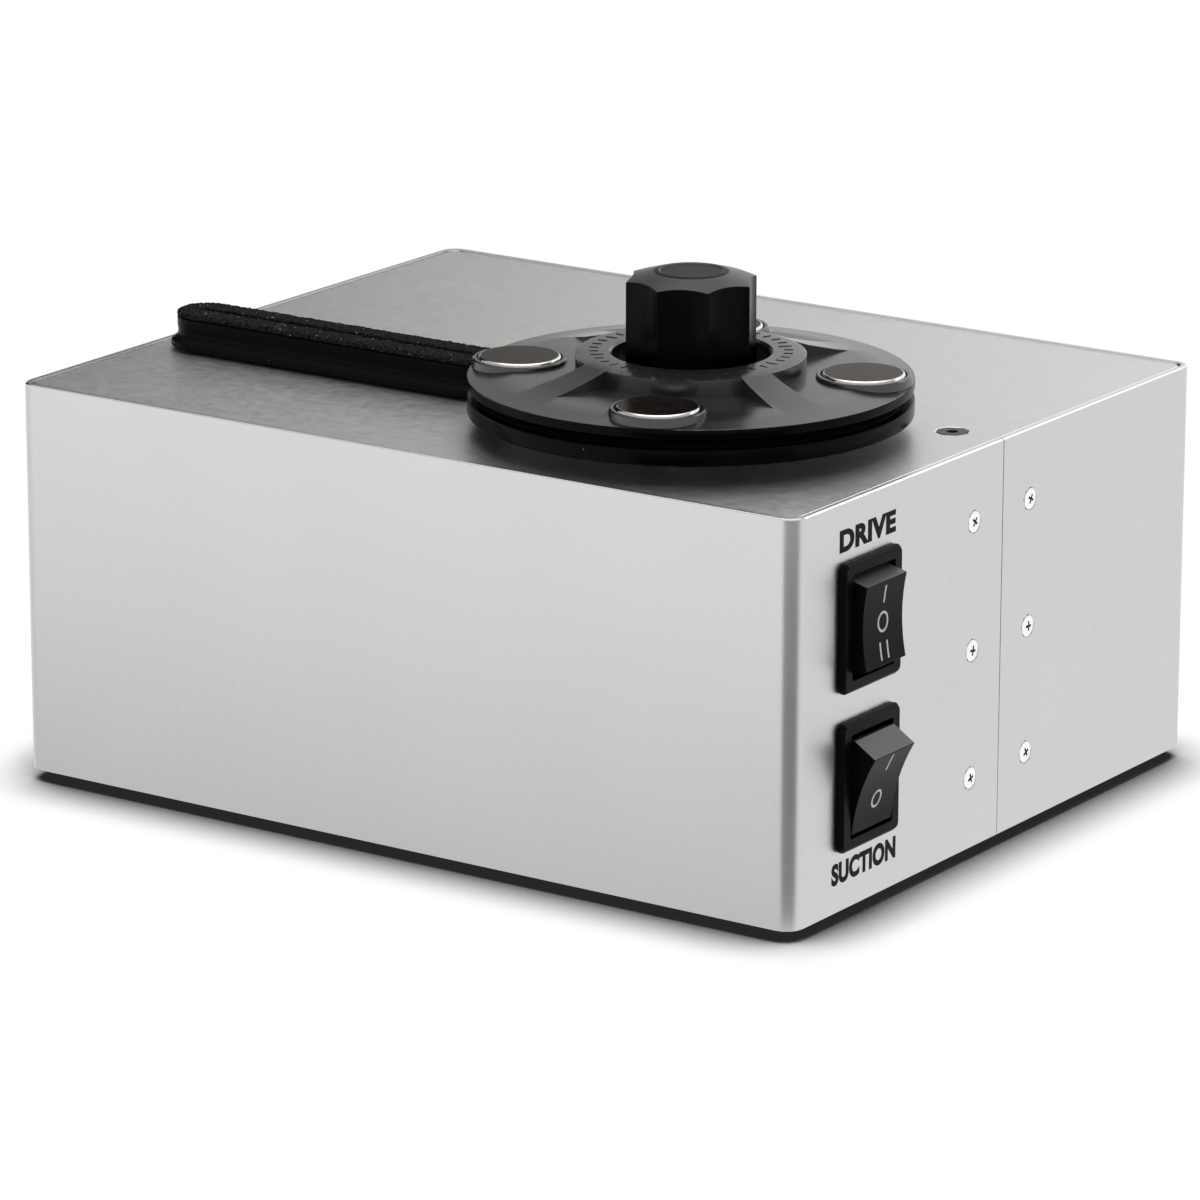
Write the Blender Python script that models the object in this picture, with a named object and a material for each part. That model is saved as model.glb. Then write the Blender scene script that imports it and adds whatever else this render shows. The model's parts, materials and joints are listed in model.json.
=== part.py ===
"""A compact record cleaning machine: an aluminium case with a slotted suction bar and a label-sized
turntable on its deck. Metres, +Z up, with the origin under the middle of the machine's outer box."""

import math

import bmesh
import bpy
from mathutils import Matrix, Vector

# Clearances and rounding shared by all pieces
SEAT_GAP = 0.0003
RUNNING_GAP = 0.0003
CUT_OVERRUN = 0.002
CORNER_STEPS = 4
ROUND_SEGMENTS = 16
FINE_SEGMENTS = 40
SMALL_SEGMENTS = 8
SHARP_ANGLE = math.radians(32)

# Case
CASE_WIDTH = 0.226
CASE_DEPTH = 0.1816
CASE_HEIGHT = 0.0983
CASE_SHEET = 0.0015
CASE_CORNER = 0.0045
CASE_EDGE = 0.0003
SEAM_GAP = 0.0003
EDGE_GAP = 0.0004
FOLD_RADIUS = 0.001
DECK_SHEET = 0.003
DECK_RECESS = 0.0003
DECK_EDGE = 0.0004
BASE_SHEET = 0.0015
BASE_FLANGE = 0.0105
CASE_INNER_CORNER = CASE_CORNER - CASE_SHEET
INNER_WIDTH = CASE_WIDTH - 2 * CASE_SHEET
INNER_DEPTH = CASE_DEPTH - 2 * CASE_SHEET
DECK_TOP = CASE_HEIGHT - DECK_RECESS
DECK_UNDERSIDE = DECK_TOP - DECK_SHEET

# Feet
FOOT_HEIGHT = 0.003
FOOT_RADIUS = 0.008
FOOT_EDGE = 0.0008
FOOT_STEM_RADIUS = 0.003
FOOT_BARB_RADIUS = 0.0042
FOOT_BARB_HEIGHT = 0.0016
FOOT_INSET_X = 0.022
FOOT_INSET_Y = 0.02

# Side brackets and the screws that join the shells and the deck to them
BRACKET_SHEET = 0.002
BRACKET_WIDTH = 0.034
BRACKET_TAB = 0.024
SCREW_HEAD_RADIUS = 0.00275
SCREW_SHANK_RADIUS = 0.0015
SCREW_LENGTH = 0.008
SCREW_HOLE_CLEARANCE = 0.0003
SCREW_FROM_SEAM = 0.0128
SCREW_FROM_EDGE = 0.0175
DECK_SCREW_HEAD_RADIUS = 0.004
DECK_SCREW_SHANK_RADIUS = 0.002
DECK_SCREW_LENGTH = 0.01
DECK_SCREW_INSET = 0.0144
DECK_SOCKET_RADIUS = 0.00145
DECK_SOCKET_DEPTH = 0.0016

# Turntable: heights are above the deck
PLATTER_RADIUS = 0.0532
PLATTER_FROM_SIDE = 0.013
SPINDLE_X = CASE_WIDTH / 2 - PLATTER_RADIUS - PLATTER_FROM_SIDE
SPINDLE_Y = -0.0344
PLATTER_CLEARANCE = 0.0047
PLATTER_THICKNESS = 0.0041
PLATTER_EDGE = 0.0005
MAT_RADIUS = 0.0508
MAT_BORE = 0.0075
MAT_THICKNESS = 0.0012
JOURNAL_RADIUS = 0.005
STUD_RADIUS = 0.004
STUD_LENGTH = 0.0175
STUD_CHAMFER = 0.0008
SHOULDER_RADIUS = 0.011
BUSH_RADIUS = 0.008
BUSH_FLANGE_RADIUS = 0.0125
BUSH_FLANGE = 0.001
BUSH_LENGTH = 0.0105
PLATTER_TOP = PLATTER_CLEARANCE + PLATTER_THICKNESS

# Label clamp: heights are above its rim's top edge unless said otherwise
RECORD_GAP = 0.0024
CLAMP_RADIUS = 0.0532
CLAMP_RIM = 0.0024
CLAMP_RIM_EDGE = 0.0004
CLAMP_RING_HEIGHT = 0.0059
CLAMP_RING_EDGE_HEIGHT = 0.0051
CLAMP_RING_RADIUS = 0.028
CLAMP_RING_TOP_RADIUS = 0.0256
CLAMP_BORE_RADIUS = 0.0189
CLAMP_BORE_EDGE = 0.0006
CLAMP_WAIST_RADIUS = 0.035
CLAMP_WAIST_HEIGHT = 0.0030
CLAMP_POCKET_RADIUS = 0.0423
CLAMP_POCKET_HEIGHT = 0.0013
CLAMP_SHELF_RADIUS = 0.048
CLAMP_SHELF_HEIGHT = 0.0004
CLAMP_FLOOR = 0.0028
CLAMP_HUB_RADIUS = 0.024
CLAMP_HUB_BORE = 0.0135
CLAMP_PHASE = math.radians(23)
RAMP_COUNT = 4
RAMP_INNER_WIDTH = 0.0084
RAMP_OUTER_WIDTH = 0.0118
POCKET_STEPS = 4
POCKET_UNDERCUT = 0.0001
MAGNET_RADIUS = 0.01
MAGNET_THICKNESS = 0.003
MAGNET_EDGE = 0.0006
MAGNET_CIRCLE = 0.0415
MAGNET_RISE = 0.0027
COLLAR_RADIUS = 0.0115
COLLAR_HEIGHT = 0.0022
SEAL_RADIUS = 0.0505
SEAL_BORE = 0.0455
SEAL_THICKNESS = 0.0014
SEAL_PROUD = 0.0006
CLAMP_TOP = PLATTER_TOP + RECORD_GAP + CLAMP_RIM
CLAMP_UNDERSIDE = PLATTER_TOP + RECORD_GAP

# Knob and its threaded insert
KNOB_RADIUS = 0.016
KNOB_FLATS = 8
KNOB_FLAT_STEPS = 6
KNOB_HOLLOW = 0.0008
KNOB_PHASE = math.radians(-42)
KNOB_TOP = 0.039
KNOB_DROP = 0.0022
KNOB_DISC_RADIUS = 0.0077
KNOB_DISC_RECESS = 0.0002
INSERT_RADIUS = 0.0055
INSERT_FLANGE_RADIUS = 0.0078
INSERT_TOP = 0.03

# Suction bar: heights are above the deck
NOZZLE_FROM_SIDE = 0.0133
NOZZLE_FROM_PLATTER = 0.0006
NOZZLE_HEIGHT = 0.0101
NOZZLE_RADIUS = 0.0073
NOZZLE_WAIST_RADIUS = 0.0071
NOZZLE_WAIST_HEIGHT = 0.0046
NOZZLE_FOOT_RADIUS = 0.009
NOZZLE_BEAD_RADIUS = 0.0015
NOZZLE_BEAD_END = math.radians(35)
NOZZLE_THROAT_RADIUS = 0.0075
NOZZLE_THROAT_HEIGHT = 0.0035
NOZZLE_SHOULDER_HEIGHT = 0.0062
NOZZLE_SLOT_RADIUS = 0.0012
NOZZLE_STEM_RADIUS = 0.005
PAD_THICKNESS = 0.0016
NOZZLE_LEFT = NOZZLE_FROM_SIDE - INNER_WIDTH / 2
NOZZLE_RIGHT = SPINDLE_X - PLATTER_RADIUS - NOZZLE_FOOT_RADIUS - NOZZLE_FROM_PLATTER

# Turntable gear motor
MOTOR_BRACKET_DROP = 0.022
MOTOR_BRACKET_WIDTH = 0.048
MOTOR_BRACKET_DEPTH = 0.042
MOTOR_BRACKET_FOOT = 0.01
GEARBOX_RADIUS = 0.0185
GEARBOX_LENGTH = 0.024
GEARBOX_OFFSET = 0.007
GEARBOX_BOSS_RADIUS = 0.006
GEARBOX_BOSS = 0.0045
GEARBOX_EDGE = 0.0008
GEAR_MOTOR_RADIUS = 0.0172
GEAR_MOTOR_FROM_FLOOR = 0.018
GEAR_MOTOR_LENGTH = (
    DECK_UNDERSIDE - MOTOR_BRACKET_DROP - GEARBOX_LENGTH - GEAR_MOTOR_FROM_FLOOR
)
DRIVE_SHAFT_RADIUS = 0.003
DRIVE_SHAFT_IN_BOX = 0.016
COUPLER_RADIUS = 0.009
COUPLER_ENTRY = 0.0045
COUPLER_EDGE = 0.0006

# Waste tank
TANK_FROM_SIDE = 0.0035
TANK_FROM_FRONT = 0.0038
TANK_FROM_MOTOR = 0.0188
TANK_BEHIND_SPINDLE = 0.0149
TANK_FROM_DECK = 0.023
TANK_LEFT = INNER_WIDTH / 2 - TANK_FROM_SIDE
TANK_RIGHT = MOTOR_BRACKET_WIDTH / 2 + MOTOR_BRACKET_FOOT + TANK_FROM_MOTOR - SPINDLE_X
TANK_FRONT = INNER_DEPTH / 2 - TANK_FROM_FRONT
TANK_REAR = -SPINDLE_Y - TANK_BEHIND_SPINDLE
TANK_WALL = 0.002
TANK_CORNER = 0.006
TANK_BOTTOM = 0.004
TANK_TOP = DECK_UNDERSIDE - TANK_FROM_DECK
TANK_LIP = 0.0015
TANK_LIP_HEIGHT = 0.0025
TANK_SKID_WIDTH = 0.006
LID_THICKNESS = 0.003
LID_COLLAR = 0.008
LID_COLLAR_WALL = 0.002
DRAIN_FROM_FRONT = 0.0255
DRAIN_Y = DRAIN_FROM_FRONT - TANK_FRONT
DRAIN_HEIGHT = 0.014
DRAIN_NECK_RADIUS = 0.007
DRAIN_BORE = 0.0045
DRAIN_REACH = 0.005
PLUG_HEAD_RADIUS = 0.008
PLUG_HEAD = 0.004
PLUG_STEM = 0.009
PLUG_TAPER = 0.0006
OUTLET_BELOW_TOP = 0.016
OUTLET_HEIGHT = TANK_TOP - OUTLET_BELOW_TOP
OUTLET_RADIUS = 0.0067
OUTLET_BORE = 0.005
OUTLET_LENGTH = 0.0075
HOSE_WALL = 0.002
HOSE_STEPS = 4
HOSE_SEGMENTS = 12

# Suction fan and its motor
FAN_MARGIN = 0.00475
FAN_FROM_SIDE = 0.0125
FAN_BEHIND_TANK = 0.0255
FAN_RADIUS = (DECK_UNDERSIDE - BASE_SHEET) / 2 - FAN_MARGIN
FAN_HEIGHT = (DECK_UNDERSIDE + BASE_SHEET) / 2
FAN_X = FAN_RADIUS + FAN_FROM_SIDE - INNER_WIDTH / 2
FAN_FRONT = FAN_BEHIND_TANK - TANK_REAR
FAN_WALL = 0.002
FAN_DEPTH = 0.0225
FAN_COVER = 0.002
FAN_PORTS = 8
FAN_PORT_RADIUS = 0.0022
IMPELLER_RIM_GAP = 0.0065
IMPELLER_RADIUS = FAN_RADIUS - FAN_WALL - IMPELLER_RIM_GAP
IMPELLER_DISC = 0.0015
IMPELLER_BLADES = 9
IMPELLER_BLADE_STEPS = 4
IMPELLER_BLADE = 0.0011
IMPELLER_BLADE_HEIGHT = 0.01
IMPELLER_EYE = 0.0105
IMPELLER_HUB_RADIUS = 0.006
IMPELLER_SWEEP = math.radians(48)
IMPELLER_CLEARANCE = 0.0009
FAN_SHAFT_RADIUS = 0.003
FAN_SHAFT_REACH = 0.014
FAN_PORT_BAND = 0.01
MOTOR_FLANGE_LIP = 0.002
MOTOR_BELL_TAPER = 0.006
MOTOR_REAR_SPACE = 0.0125
MOTOR_FLANGE_RADIUS = FAN_RADIUS - FAN_PORT_BAND
MOTOR_RADIUS = MOTOR_FLANGE_RADIUS - MOTOR_FLANGE_LIP
MOTOR_FLANGE = 0.003
MOTOR_BELL_RADIUS = MOTOR_RADIUS - MOTOR_BELL_TAPER
MOTOR_BELL = 0.006
MOTOR_BOSS_RADIUS = 0.008
MOTOR_BOSS = 0.003
MOTOR_REAR = INNER_DEPTH / 2 - MOTOR_REAR_SPACE - FAN_FRONT
MOTOR_CAN = MOTOR_REAR - FAN_DEPTH - SEAT_GAP - MOTOR_FLANGE - MOTOR_BELL - MOTOR_BOSS
SADDLE_HALF_WIDTH = 0.024
SADDLE_LENGTH = 0.018
SADDLE_STEPS = 10

# Rocker switches: depths are measured from the case side
SWITCH_FROM_FRONT = 0.0306
SWITCH_SPACE = 0.0071
BEZEL_HEIGHT = 0.0312
SWITCH_Y = SWITCH_FROM_FRONT - CASE_DEPTH / 2
DRIVE_SWITCH_HEIGHT = (CASE_HEIGHT + BEZEL_HEIGHT + SWITCH_SPACE) / 2
VACUUM_SWITCH_HEIGHT = (CASE_HEIGHT - BEZEL_HEIGHT - SWITCH_SPACE) / 2
BEZEL_WIDTH = 0.0254
BEZEL_PROUD = 0.002
BEZEL_CHAMFER = 0.0008
BEZEL_CORNER = 0.002
SWITCH_BODY_HEIGHT = 0.0282
SWITCH_BODY_WIDTH = 0.022
SWITCH_BODY_DEPTH = 0.021
SWITCH_BODY_CORNER = 0.001
WELL_DEPTH = 0.0088
ROCKER_WIDTH = 0.0172
ROCKER_SIDE_GAP = 0.0004
ROCKER_PROUD = 0.0034
ROCKER_HEIGHT = 0.0202
ROCKER_HOLLOW = 0.0011
ROCKER_HOLLOW_STEPS = 8
ROCKER_DRAFT = math.radians(15)
ROCKER_BELOW = 0.0015
ROCKER_HEEL_SHARE = 0.92
ROCKER_KEEL_HALF = 0.004
ROCKER_KEEL_DEPTH = 0.004
ROCKER_SWING_GAP = 0.0005
PIVOT_DEPTH = 0.0032
TRUNNION_RADIUS = 0.0015
TRUNNION_REACH = 0.0015
VACUUM_TILT = math.radians(18)
TERMINAL_WIDTH = 0.0048
TERMINAL_SHEET = 0.0008
TERMINAL_LENGTH = 0.008
TERMINAL_PITCH = 0.007
TERMINAL_COLUMN = 0.0055

# Mains inlet and exhaust slots in the rear panel
INLET_FROM_SIDE = 0.0395
INLET_X = INNER_WIDTH / 2 - INLET_FROM_SIDE
INLET_HEIGHT = 0.032
INLET_FLANGE_WIDTH = 0.05
INLET_FLANGE_HEIGHT = 0.0275
INLET_FLANGE = 0.0028
INLET_FLANGE_CORNER = 0.005
INLET_BODY_WIDTH = 0.0282
INLET_BODY_HEIGHT = 0.0202
INLET_BODY_DEPTH = 0.019
INLET_BODY_CORNER = 0.0012
INLET_MOUTH_WIDTH = 0.0244
INLET_MOUTH_HEIGHT = 0.0166
INLET_MOUTH_CHAMFER = 0.0045
INLET_MOUTH_DEPTH = 0.0185
INLET_PIN_WIDTH = 0.002
INLET_PIN_HEIGHT = 0.004
INLET_PIN_LENGTH = 0.0155
INLET_PIN_PITCH = 0.007
INLET_PIN_RISE = 0.002
VENT_COUNT = 9
VENT_PITCH = 0.0065
VENT_RADIUS = 0.0015
VENT_LENGTH = 0.034

# Circuit board, transformer and loom
BOARD_FROM_SIDE = 0.0655
BOARD_FROM_REAR = 0.0393
BOARD_X = INNER_WIDTH / 2 - BOARD_FROM_SIDE
BOARD_Y = INNER_DEPTH / 2 - BOARD_FROM_REAR
BOARD_WIDTH = 0.066
BOARD_DEPTH = 0.048
BOARD_SHEET = 0.0016
BOARD_HEIGHT = 0.008
BOARD_CORNER = 0.002
POST_RADIUS = 0.0025
POST_INSET = 0.005
CAPACITOR_RADIUS = 0.0055
CAPACITOR_HEIGHT = 0.016
CAPACITOR_SPACING = 0.014
HEAT_SINK_WIDTH = 0.022
HEAT_SINK_DEPTH = 0.01
HEAT_SINK_HEIGHT = 0.018
HEAT_SINK_FINS = 4
TRANSFORMER_WIDTH = 0.03
TRANSFORMER_DEPTH = 0.012
TRANSFORMER_HEIGHT = 0.026
BOBBIN_WIDTH = 0.022
BOBBIN_DEPTH = 0.024
BOBBIN_HEIGHT = 0.018
LOOM_RADIUS = 0.0025
LOOM_ROUTE = (
    (0.0725, 0.052, 0.0315),
    (0.0755, 0.034, 0.0295),
    (0.0772, 0.014, 0.0285),
    (0.0775, -0.008, 0.0285),
    (0.0765, -0.03, 0.0290),
    (0.0745, -0.046, 0.0296),
    (0.0747, -0.056, 0.0300),
)
LOOM_STEPS = 3

# How far the machine reaches past the case on each side
RIGHT_REACH = (
    BEZEL_PROUD
    - PIVOT_DEPTH
    + (ROCKER_PROUD + PIVOT_DEPTH) * math.cos(VACUUM_TILT)
    + ROCKER_HEIGHT / 2 * math.sin(VACUUM_TILT)
)
LEFT_REACH = DRAIN_REACH + SEAT_GAP + PLUG_HEAD
REAR_REACH = SEAT_GAP + INLET_FLANGE
CASE_X = (LEFT_REACH - RIGHT_REACH) / 2
CASE_Y = -REAR_REACH / 2

ALUMINIUM = ((0.62, 0.62, 0.61), 0.42, 1.0)
STEEL = ((0.55, 0.55, 0.56), 0.3, 1.0)
BLACK_STEEL = ((0.02, 0.02, 0.02), 0.5, 0.0)
CHROME = ((0.32, 0.31, 0.3), 0.12, 1.0)
BRASS = ((0.7, 0.5, 0.2), 0.3, 1.0)
BRONZE = ((0.45, 0.3, 0.18), 0.4, 1.0)
GLOSS_BLACK = ((0.008, 0.008, 0.009), 0.2, 0.0)
SATIN_BLACK = ((0.022, 0.022, 0.024), 0.35, 0.0)
CHARCOAL = ((0.07, 0.07, 0.075), 0.35, 0.0)
RUBBER = ((0.015, 0.015, 0.015), 0.8, 0.0)
VELVET = ((0.02, 0.02, 0.022), 1.0, 0.0)
TANK_PLASTIC = ((0.7, 0.72, 0.72), 0.4, 0.0)
BOARD_GREEN = ((0.03, 0.16, 0.06), 0.5, 0.0)
IRON = ((0.16, 0.16, 0.17), 0.45, 1.0)


def clear_scene():
    """Remove what the scene holds."""
    for old in list(bpy.data.objects):
        bpy.data.objects.remove(old, do_unlink=True)


def finish_material(name, finish):
    """A plain surface of the given colour, roughness and metallic value."""
    colour, roughness, metallic = finish
    made = bpy.data.materials.new(name)
    made.use_nodes = True
    shader = made.node_tree.nodes["Principled BSDF"]
    shader.inputs["Base Color"].default_value = (*colour, 1)
    shader.inputs["Roughness"].default_value = roughness
    shader.inputs["Metallic"].default_value = metallic
    return made


def make_empty(name, place, parent=None, turn=(0, 0, 0)):
    """A reference point that pieces hang from."""
    empty = bpy.data.objects.new(name, None)
    bpy.context.scene.collection.objects.link(empty)
    empty.parent = parent
    empty.location = place
    empty.rotation_euler = turn
    return empty


def make_mesh(name, bm):
    """A smooth-shaded mesh with crisp edges, from finished geometry facing outwards."""
    bmesh.ops.recalc_face_normals(bm, faces=bm.faces)
    mesh = bpy.data.meshes.new(name)
    bm.to_mesh(mesh)
    bm.free()
    mesh.shade_smooth()
    mesh.set_sharp_from_angle(angle=SHARP_ANGLE)
    return mesh


def make_piece(name, bm, finish, parent, place=(0, 0, 0), turn=(0, 0, 0)):
    """A named sub-part with its own material."""
    piece = bpy.data.objects.new(name, make_mesh(name, bm))
    bpy.context.scene.collection.objects.link(piece)
    piece.data.materials.append(finish_material(name, finish))
    piece.parent = parent
    piece.location = place
    piece.rotation_euler = turn
    return piece


def make_tool(name, bm, parent, place=(0, 0, 0), turn=(0, 0, 0)):
    """A hidden shape that only cuts or extends a sub-part."""
    tool = bpy.data.objects.new(name, make_mesh(name, bm))
    bpy.context.scene.collection.objects.link(tool)
    tool.parent = parent
    tool.location = place
    tool.rotation_euler = turn
    tool.hide_render = True
    tool.display_type = "WIRE"
    return tool


def combine(piece, tool, operation):
    """Cut the tool out of the piece, join it on, or keep only what both share."""
    modifier = piece.modifiers.new(tool.name, "BOOLEAN")
    modifier.operation = operation
    modifier.solver = "EXACT"
    modifier.object = tool


def arc(centre, radius, start, end, steps):
    """Points on an arc, both ends included."""
    points = []
    for step in range(steps + 1):
        angle = start + (end - start) * step / steps
        points.append((centre[0] + radius * math.cos(angle), centre[1] + radius * math.sin(angle)))
    return points


def rounded_rectangle(width, height, radius, steps=CORNER_STEPS):
    """An outline centred on zero with four rounded corners."""
    x = width / 2 - radius
    y = height / 2 - radius
    quarter = math.pi / 2
    outline = []
    for turn, corner in enumerate(((x, y), (-x, y), (-x, -y), (x, -y))):
        outline += arc(corner, radius, turn * quarter, (turn + 1) * quarter, steps)
    return outline


def stadium(left, right, radius, steps=ROUND_SEGMENTS // 2):
    """An outline along X with a half circle round each end point."""
    quarter = math.pi / 2
    outline = arc((right, 0), radius, -quarter, quarter, steps)
    outline += arc((left, 0), radius, quarter, 3 * quarter, steps)
    return outline


def channel(width, flange, sheet):
    """A folded sheet in section: a flat back along the first axis with a flange at each end."""
    outer = FOLD_RADIUS + sheet
    side = width / 2
    quarter = math.pi / 2
    outline = [(-side, flange)]
    outline += arc((outer - side, outer), outer, 2 * quarter, 3 * quarter, CORNER_STEPS)
    outline += arc((side - outer, outer), outer, 3 * quarter, 4 * quarter, CORNER_STEPS)
    outline += [(side, flange), (side - sheet, flange)]
    outline += arc((side - outer, outer), FOLD_RADIUS, 4 * quarter, 3 * quarter, CORNER_STEPS)
    outline += arc((outer - side, outer), FOLD_RADIUS, 3 * quarter, 2 * quarter, CORNER_STEPS)
    outline += [(sheet - side, flange)]
    return outline


def along_x(u, v, w):
    """Section in Y and Z, length along X."""
    return (w, u, v)


def along_y(u, v, w):
    """Section in X and Z, length along Y."""
    return (u, w, v)


def along_z(u, v, w):
    """Section in X and Y, length along Z."""
    return (u, v, w)


def add_loft(bm, sections, place=along_z):
    """A closed body through sections of equally many points, each an outline and its position."""
    rings = []
    for outline, level in sections:
        rings.append([bm.verts.new(place(u, v, level)) for u, v in outline])
    for lower, upper in zip(rings, rings[1:]):
        count = len(lower)
        for index in range(count):
            after = (index + 1) % count
            bm.faces.new((lower[index], lower[after], upper[after], upper[index]))
    bm.faces.new(rings[0])
    bm.faces.new(rings[-1])


def add_prism(bm, outline, start, end, place=along_z):
    """One outline drawn out from start to end."""
    add_loft(bm, [(outline, start), (outline, end)], place)


def add_turned(bm, profile, segments=ROUND_SEGMENTS, frame=Matrix()):
    """A body of revolution about Z from (radius, height) points, which may start and end on it."""
    rings = []
    for radius, height in profile:
        points = [(0, 0)]
        if radius > 0:
            points = arc((0, 0), radius, 0, 2 * math.pi, segments)[:-1]
        rings.append([bm.verts.new(frame @ Vector((u, v, height))) for u, v in points])
    if profile[0][0] > 0:
        rings.append(rings[0])
    for lower, upper in zip(rings, rings[1:]):
        for index in range(segments):
            after = index + 1
            corners = [ring[place % len(ring)] for ring in (lower, upper) for place in (index, after)]
            corners[2:] = corners[:1:-1]
            bm.faces.new(tuple(dict.fromkeys(corners)))


def turned(profile, segments=ROUND_SEGMENTS):
    """New geometry holding one body of revolution."""
    bm = bmesh.new()
    add_turned(bm, profile, segments)
    return bm


def prism(outline, start, end, place=along_z):
    """New geometry holding one drawn-out outline."""
    bm = bmesh.new()
    add_prism(bm, outline, start, end, place)
    return bm


def loft(sections, place=along_z):
    """New geometry holding one lofted body."""
    bm = bmesh.new()
    add_loft(bm, sections, place)
    return bm


def cylinder_profile(radius, bottom, top):
    """A plain round bar."""
    return [(0, top), (radius, top), (radius, bottom), (0, bottom)]


def tube_profile(outer, inner, bottom, top):
    """A plain ring or tube."""
    return [(outer, top), (outer, bottom), (inner, bottom), (inner, top)]


def screw_profile(head, shank, length):
    """A flat-headed screw with the top of its head at zero."""
    return [(0, 0), (head, 0), (shank, shank - head), (shank, -length), (0, -length)]


def screw_hole_profile(head, shank, length):
    """The countersunk hole for such a screw, running past both faces."""
    wide = head + SCREW_HOLE_CLEARANCE
    narrow = shank + SCREW_HOLE_CLEARANCE
    bottom = -length - CUT_OVERRUN
    return [
        (0, CUT_OVERRUN),
        (wide, CUT_OVERRUN),
        (wide, 0),
        (narrow, shank - head),
        (narrow, bottom),
        (0, bottom),
    ]


def facing_x(side, place):
    """A frame whose Z axis points out of the left (-1) or right (1) side of the case."""
    return Matrix.Translation(place) @ Matrix.Rotation(side * math.pi / 2, 4, "Y")


def facing_y(place):
    """A frame whose Z axis points to the rear."""
    return Matrix.Translation(place) @ Matrix.Rotation(-math.pi / 2, 4, "X")


def side_screw_places():
    """The name, side, depth position and height of each screw in the case sides."""
    levels = (
        ("bottom", SCREW_FROM_EDGE),
        ("middle", CASE_HEIGHT / 2),
        ("top", CASE_HEIGHT - SCREW_FROM_EDGE),
    )
    places = []
    for side_name, side in (("left", -1), ("right", 1)):
        for half_name, half in (("front", -1), ("rear", 1)):
            for level_name, height in levels:
                name = f"side_screw_{side_name}_{half_name}_{level_name}"
                places.append((name, side, half * SCREW_FROM_SEAM, height))
    return places


def side_screw_frame(side, y, height):
    """Where a side screw's head lies and which way it faces."""
    return facing_x(side, (side * CASE_WIDTH / 2, y, height))


def make_side_screws(case):
    """Twelve countersunk screws, flush with the case sides."""
    profile = screw_profile(SCREW_HEAD_RADIUS, SCREW_SHANK_RADIUS, SCREW_LENGTH)
    for name, side, y, height in side_screw_places():
        bm = bmesh.new()
        add_turned(bm, profile, SMALL_SEGMENTS, side_screw_frame(side, y, height))
        make_piece(name, bm, STEEL, case)


def make_side_screw_holes(case):
    """One tool with the holes of all side screws."""
    profile = screw_hole_profile(SCREW_HEAD_RADIUS, SCREW_SHANK_RADIUS, SCREW_LENGTH)
    bm = bmesh.new()
    for _, side, y, height in side_screw_places():
        add_turned(bm, profile, SMALL_SEGMENTS, side_screw_frame(side, y, height))
    return make_tool("side_screw_holes", bm, case)


def deck_screw_place(side):
    """The middle of a deck screw's head."""
    return (side * (CASE_WIDTH / 2 - DECK_SCREW_INSET), 0, DECK_TOP)


def make_deck_screws(case):
    """Two countersunk socket screws that hold the deck to the side brackets."""
    profile = screw_profile(DECK_SCREW_HEAD_RADIUS, DECK_SCREW_SHANK_RADIUS, DECK_SCREW_LENGTH)
    for side_name, side in (("left", -1), ("right", 1)):
        name = f"deck_screw_{side_name}"
        place = deck_screw_place(side)
        screw = make_piece(name, turned(profile, SMALL_SEGMENTS), BLACK_STEEL, case, place)
        hexagon = arc((0, 0), DECK_SOCKET_RADIUS, 0, 5 * math.pi / 3, 5)
        socket = prism(hexagon, -DECK_SOCKET_DEPTH, CUT_OVERRUN)
        combine(screw, make_tool(f"{name}_socket", socket, case, place), "DIFFERENCE")


def make_deck_screw_holes(case):
    """One tool with the holes of both deck screws."""
    profile = screw_hole_profile(
        DECK_SCREW_HEAD_RADIUS, DECK_SCREW_SHANK_RADIUS, DECK_SCREW_LENGTH
    )
    bm = bmesh.new()
    for side in (-1, 1):
        frame = Matrix.Translation(deck_screw_place(side))
        add_turned(bm, profile, SMALL_SEGMENTS, frame)
    return make_tool("deck_screw_holes", bm, case)


def half_shell_outline(facing, edge=0):
    """The U-shaped plan of the front (-1) or rear (1) shell, with its outer face drawn in by an edge."""
    x = CASE_WIDTH / 2
    outer = x - edge
    inner = x - CASE_SHEET
    corner_x = x - CASE_CORNER
    corner_y = CASE_DEPTH / 2 - CASE_CORNER
    radius = CASE_CORNER - edge
    seam = SEAM_GAP / 2
    quarter = math.pi / 2
    outline = [(outer, seam)]
    outline += arc((corner_x, corner_y), radius, 0, quarter, CORNER_STEPS)
    outline += arc((-corner_x, corner_y), radius, quarter, 2 * quarter, CORNER_STEPS)
    outline += [(-outer, seam), (-inner, seam)]
    outline += arc((-corner_x, corner_y), CASE_INNER_CORNER, 2 * quarter, quarter, CORNER_STEPS)
    outline += arc((corner_x, corner_y), CASE_INNER_CORNER, quarter, 0, CORNER_STEPS)
    outline += [(inner, seam)]
    return [(u, facing * v) for u, v in outline]


def half_shell(facing):
    """One shell, with its top rim's outer edge broken."""
    full = half_shell_outline(facing)
    drawn_in = half_shell_outline(facing, CASE_EDGE)
    return loft([(full, 0), (full, CASE_HEIGHT - CASE_EDGE), (drawn_in, CASE_HEIGHT)])


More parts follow.
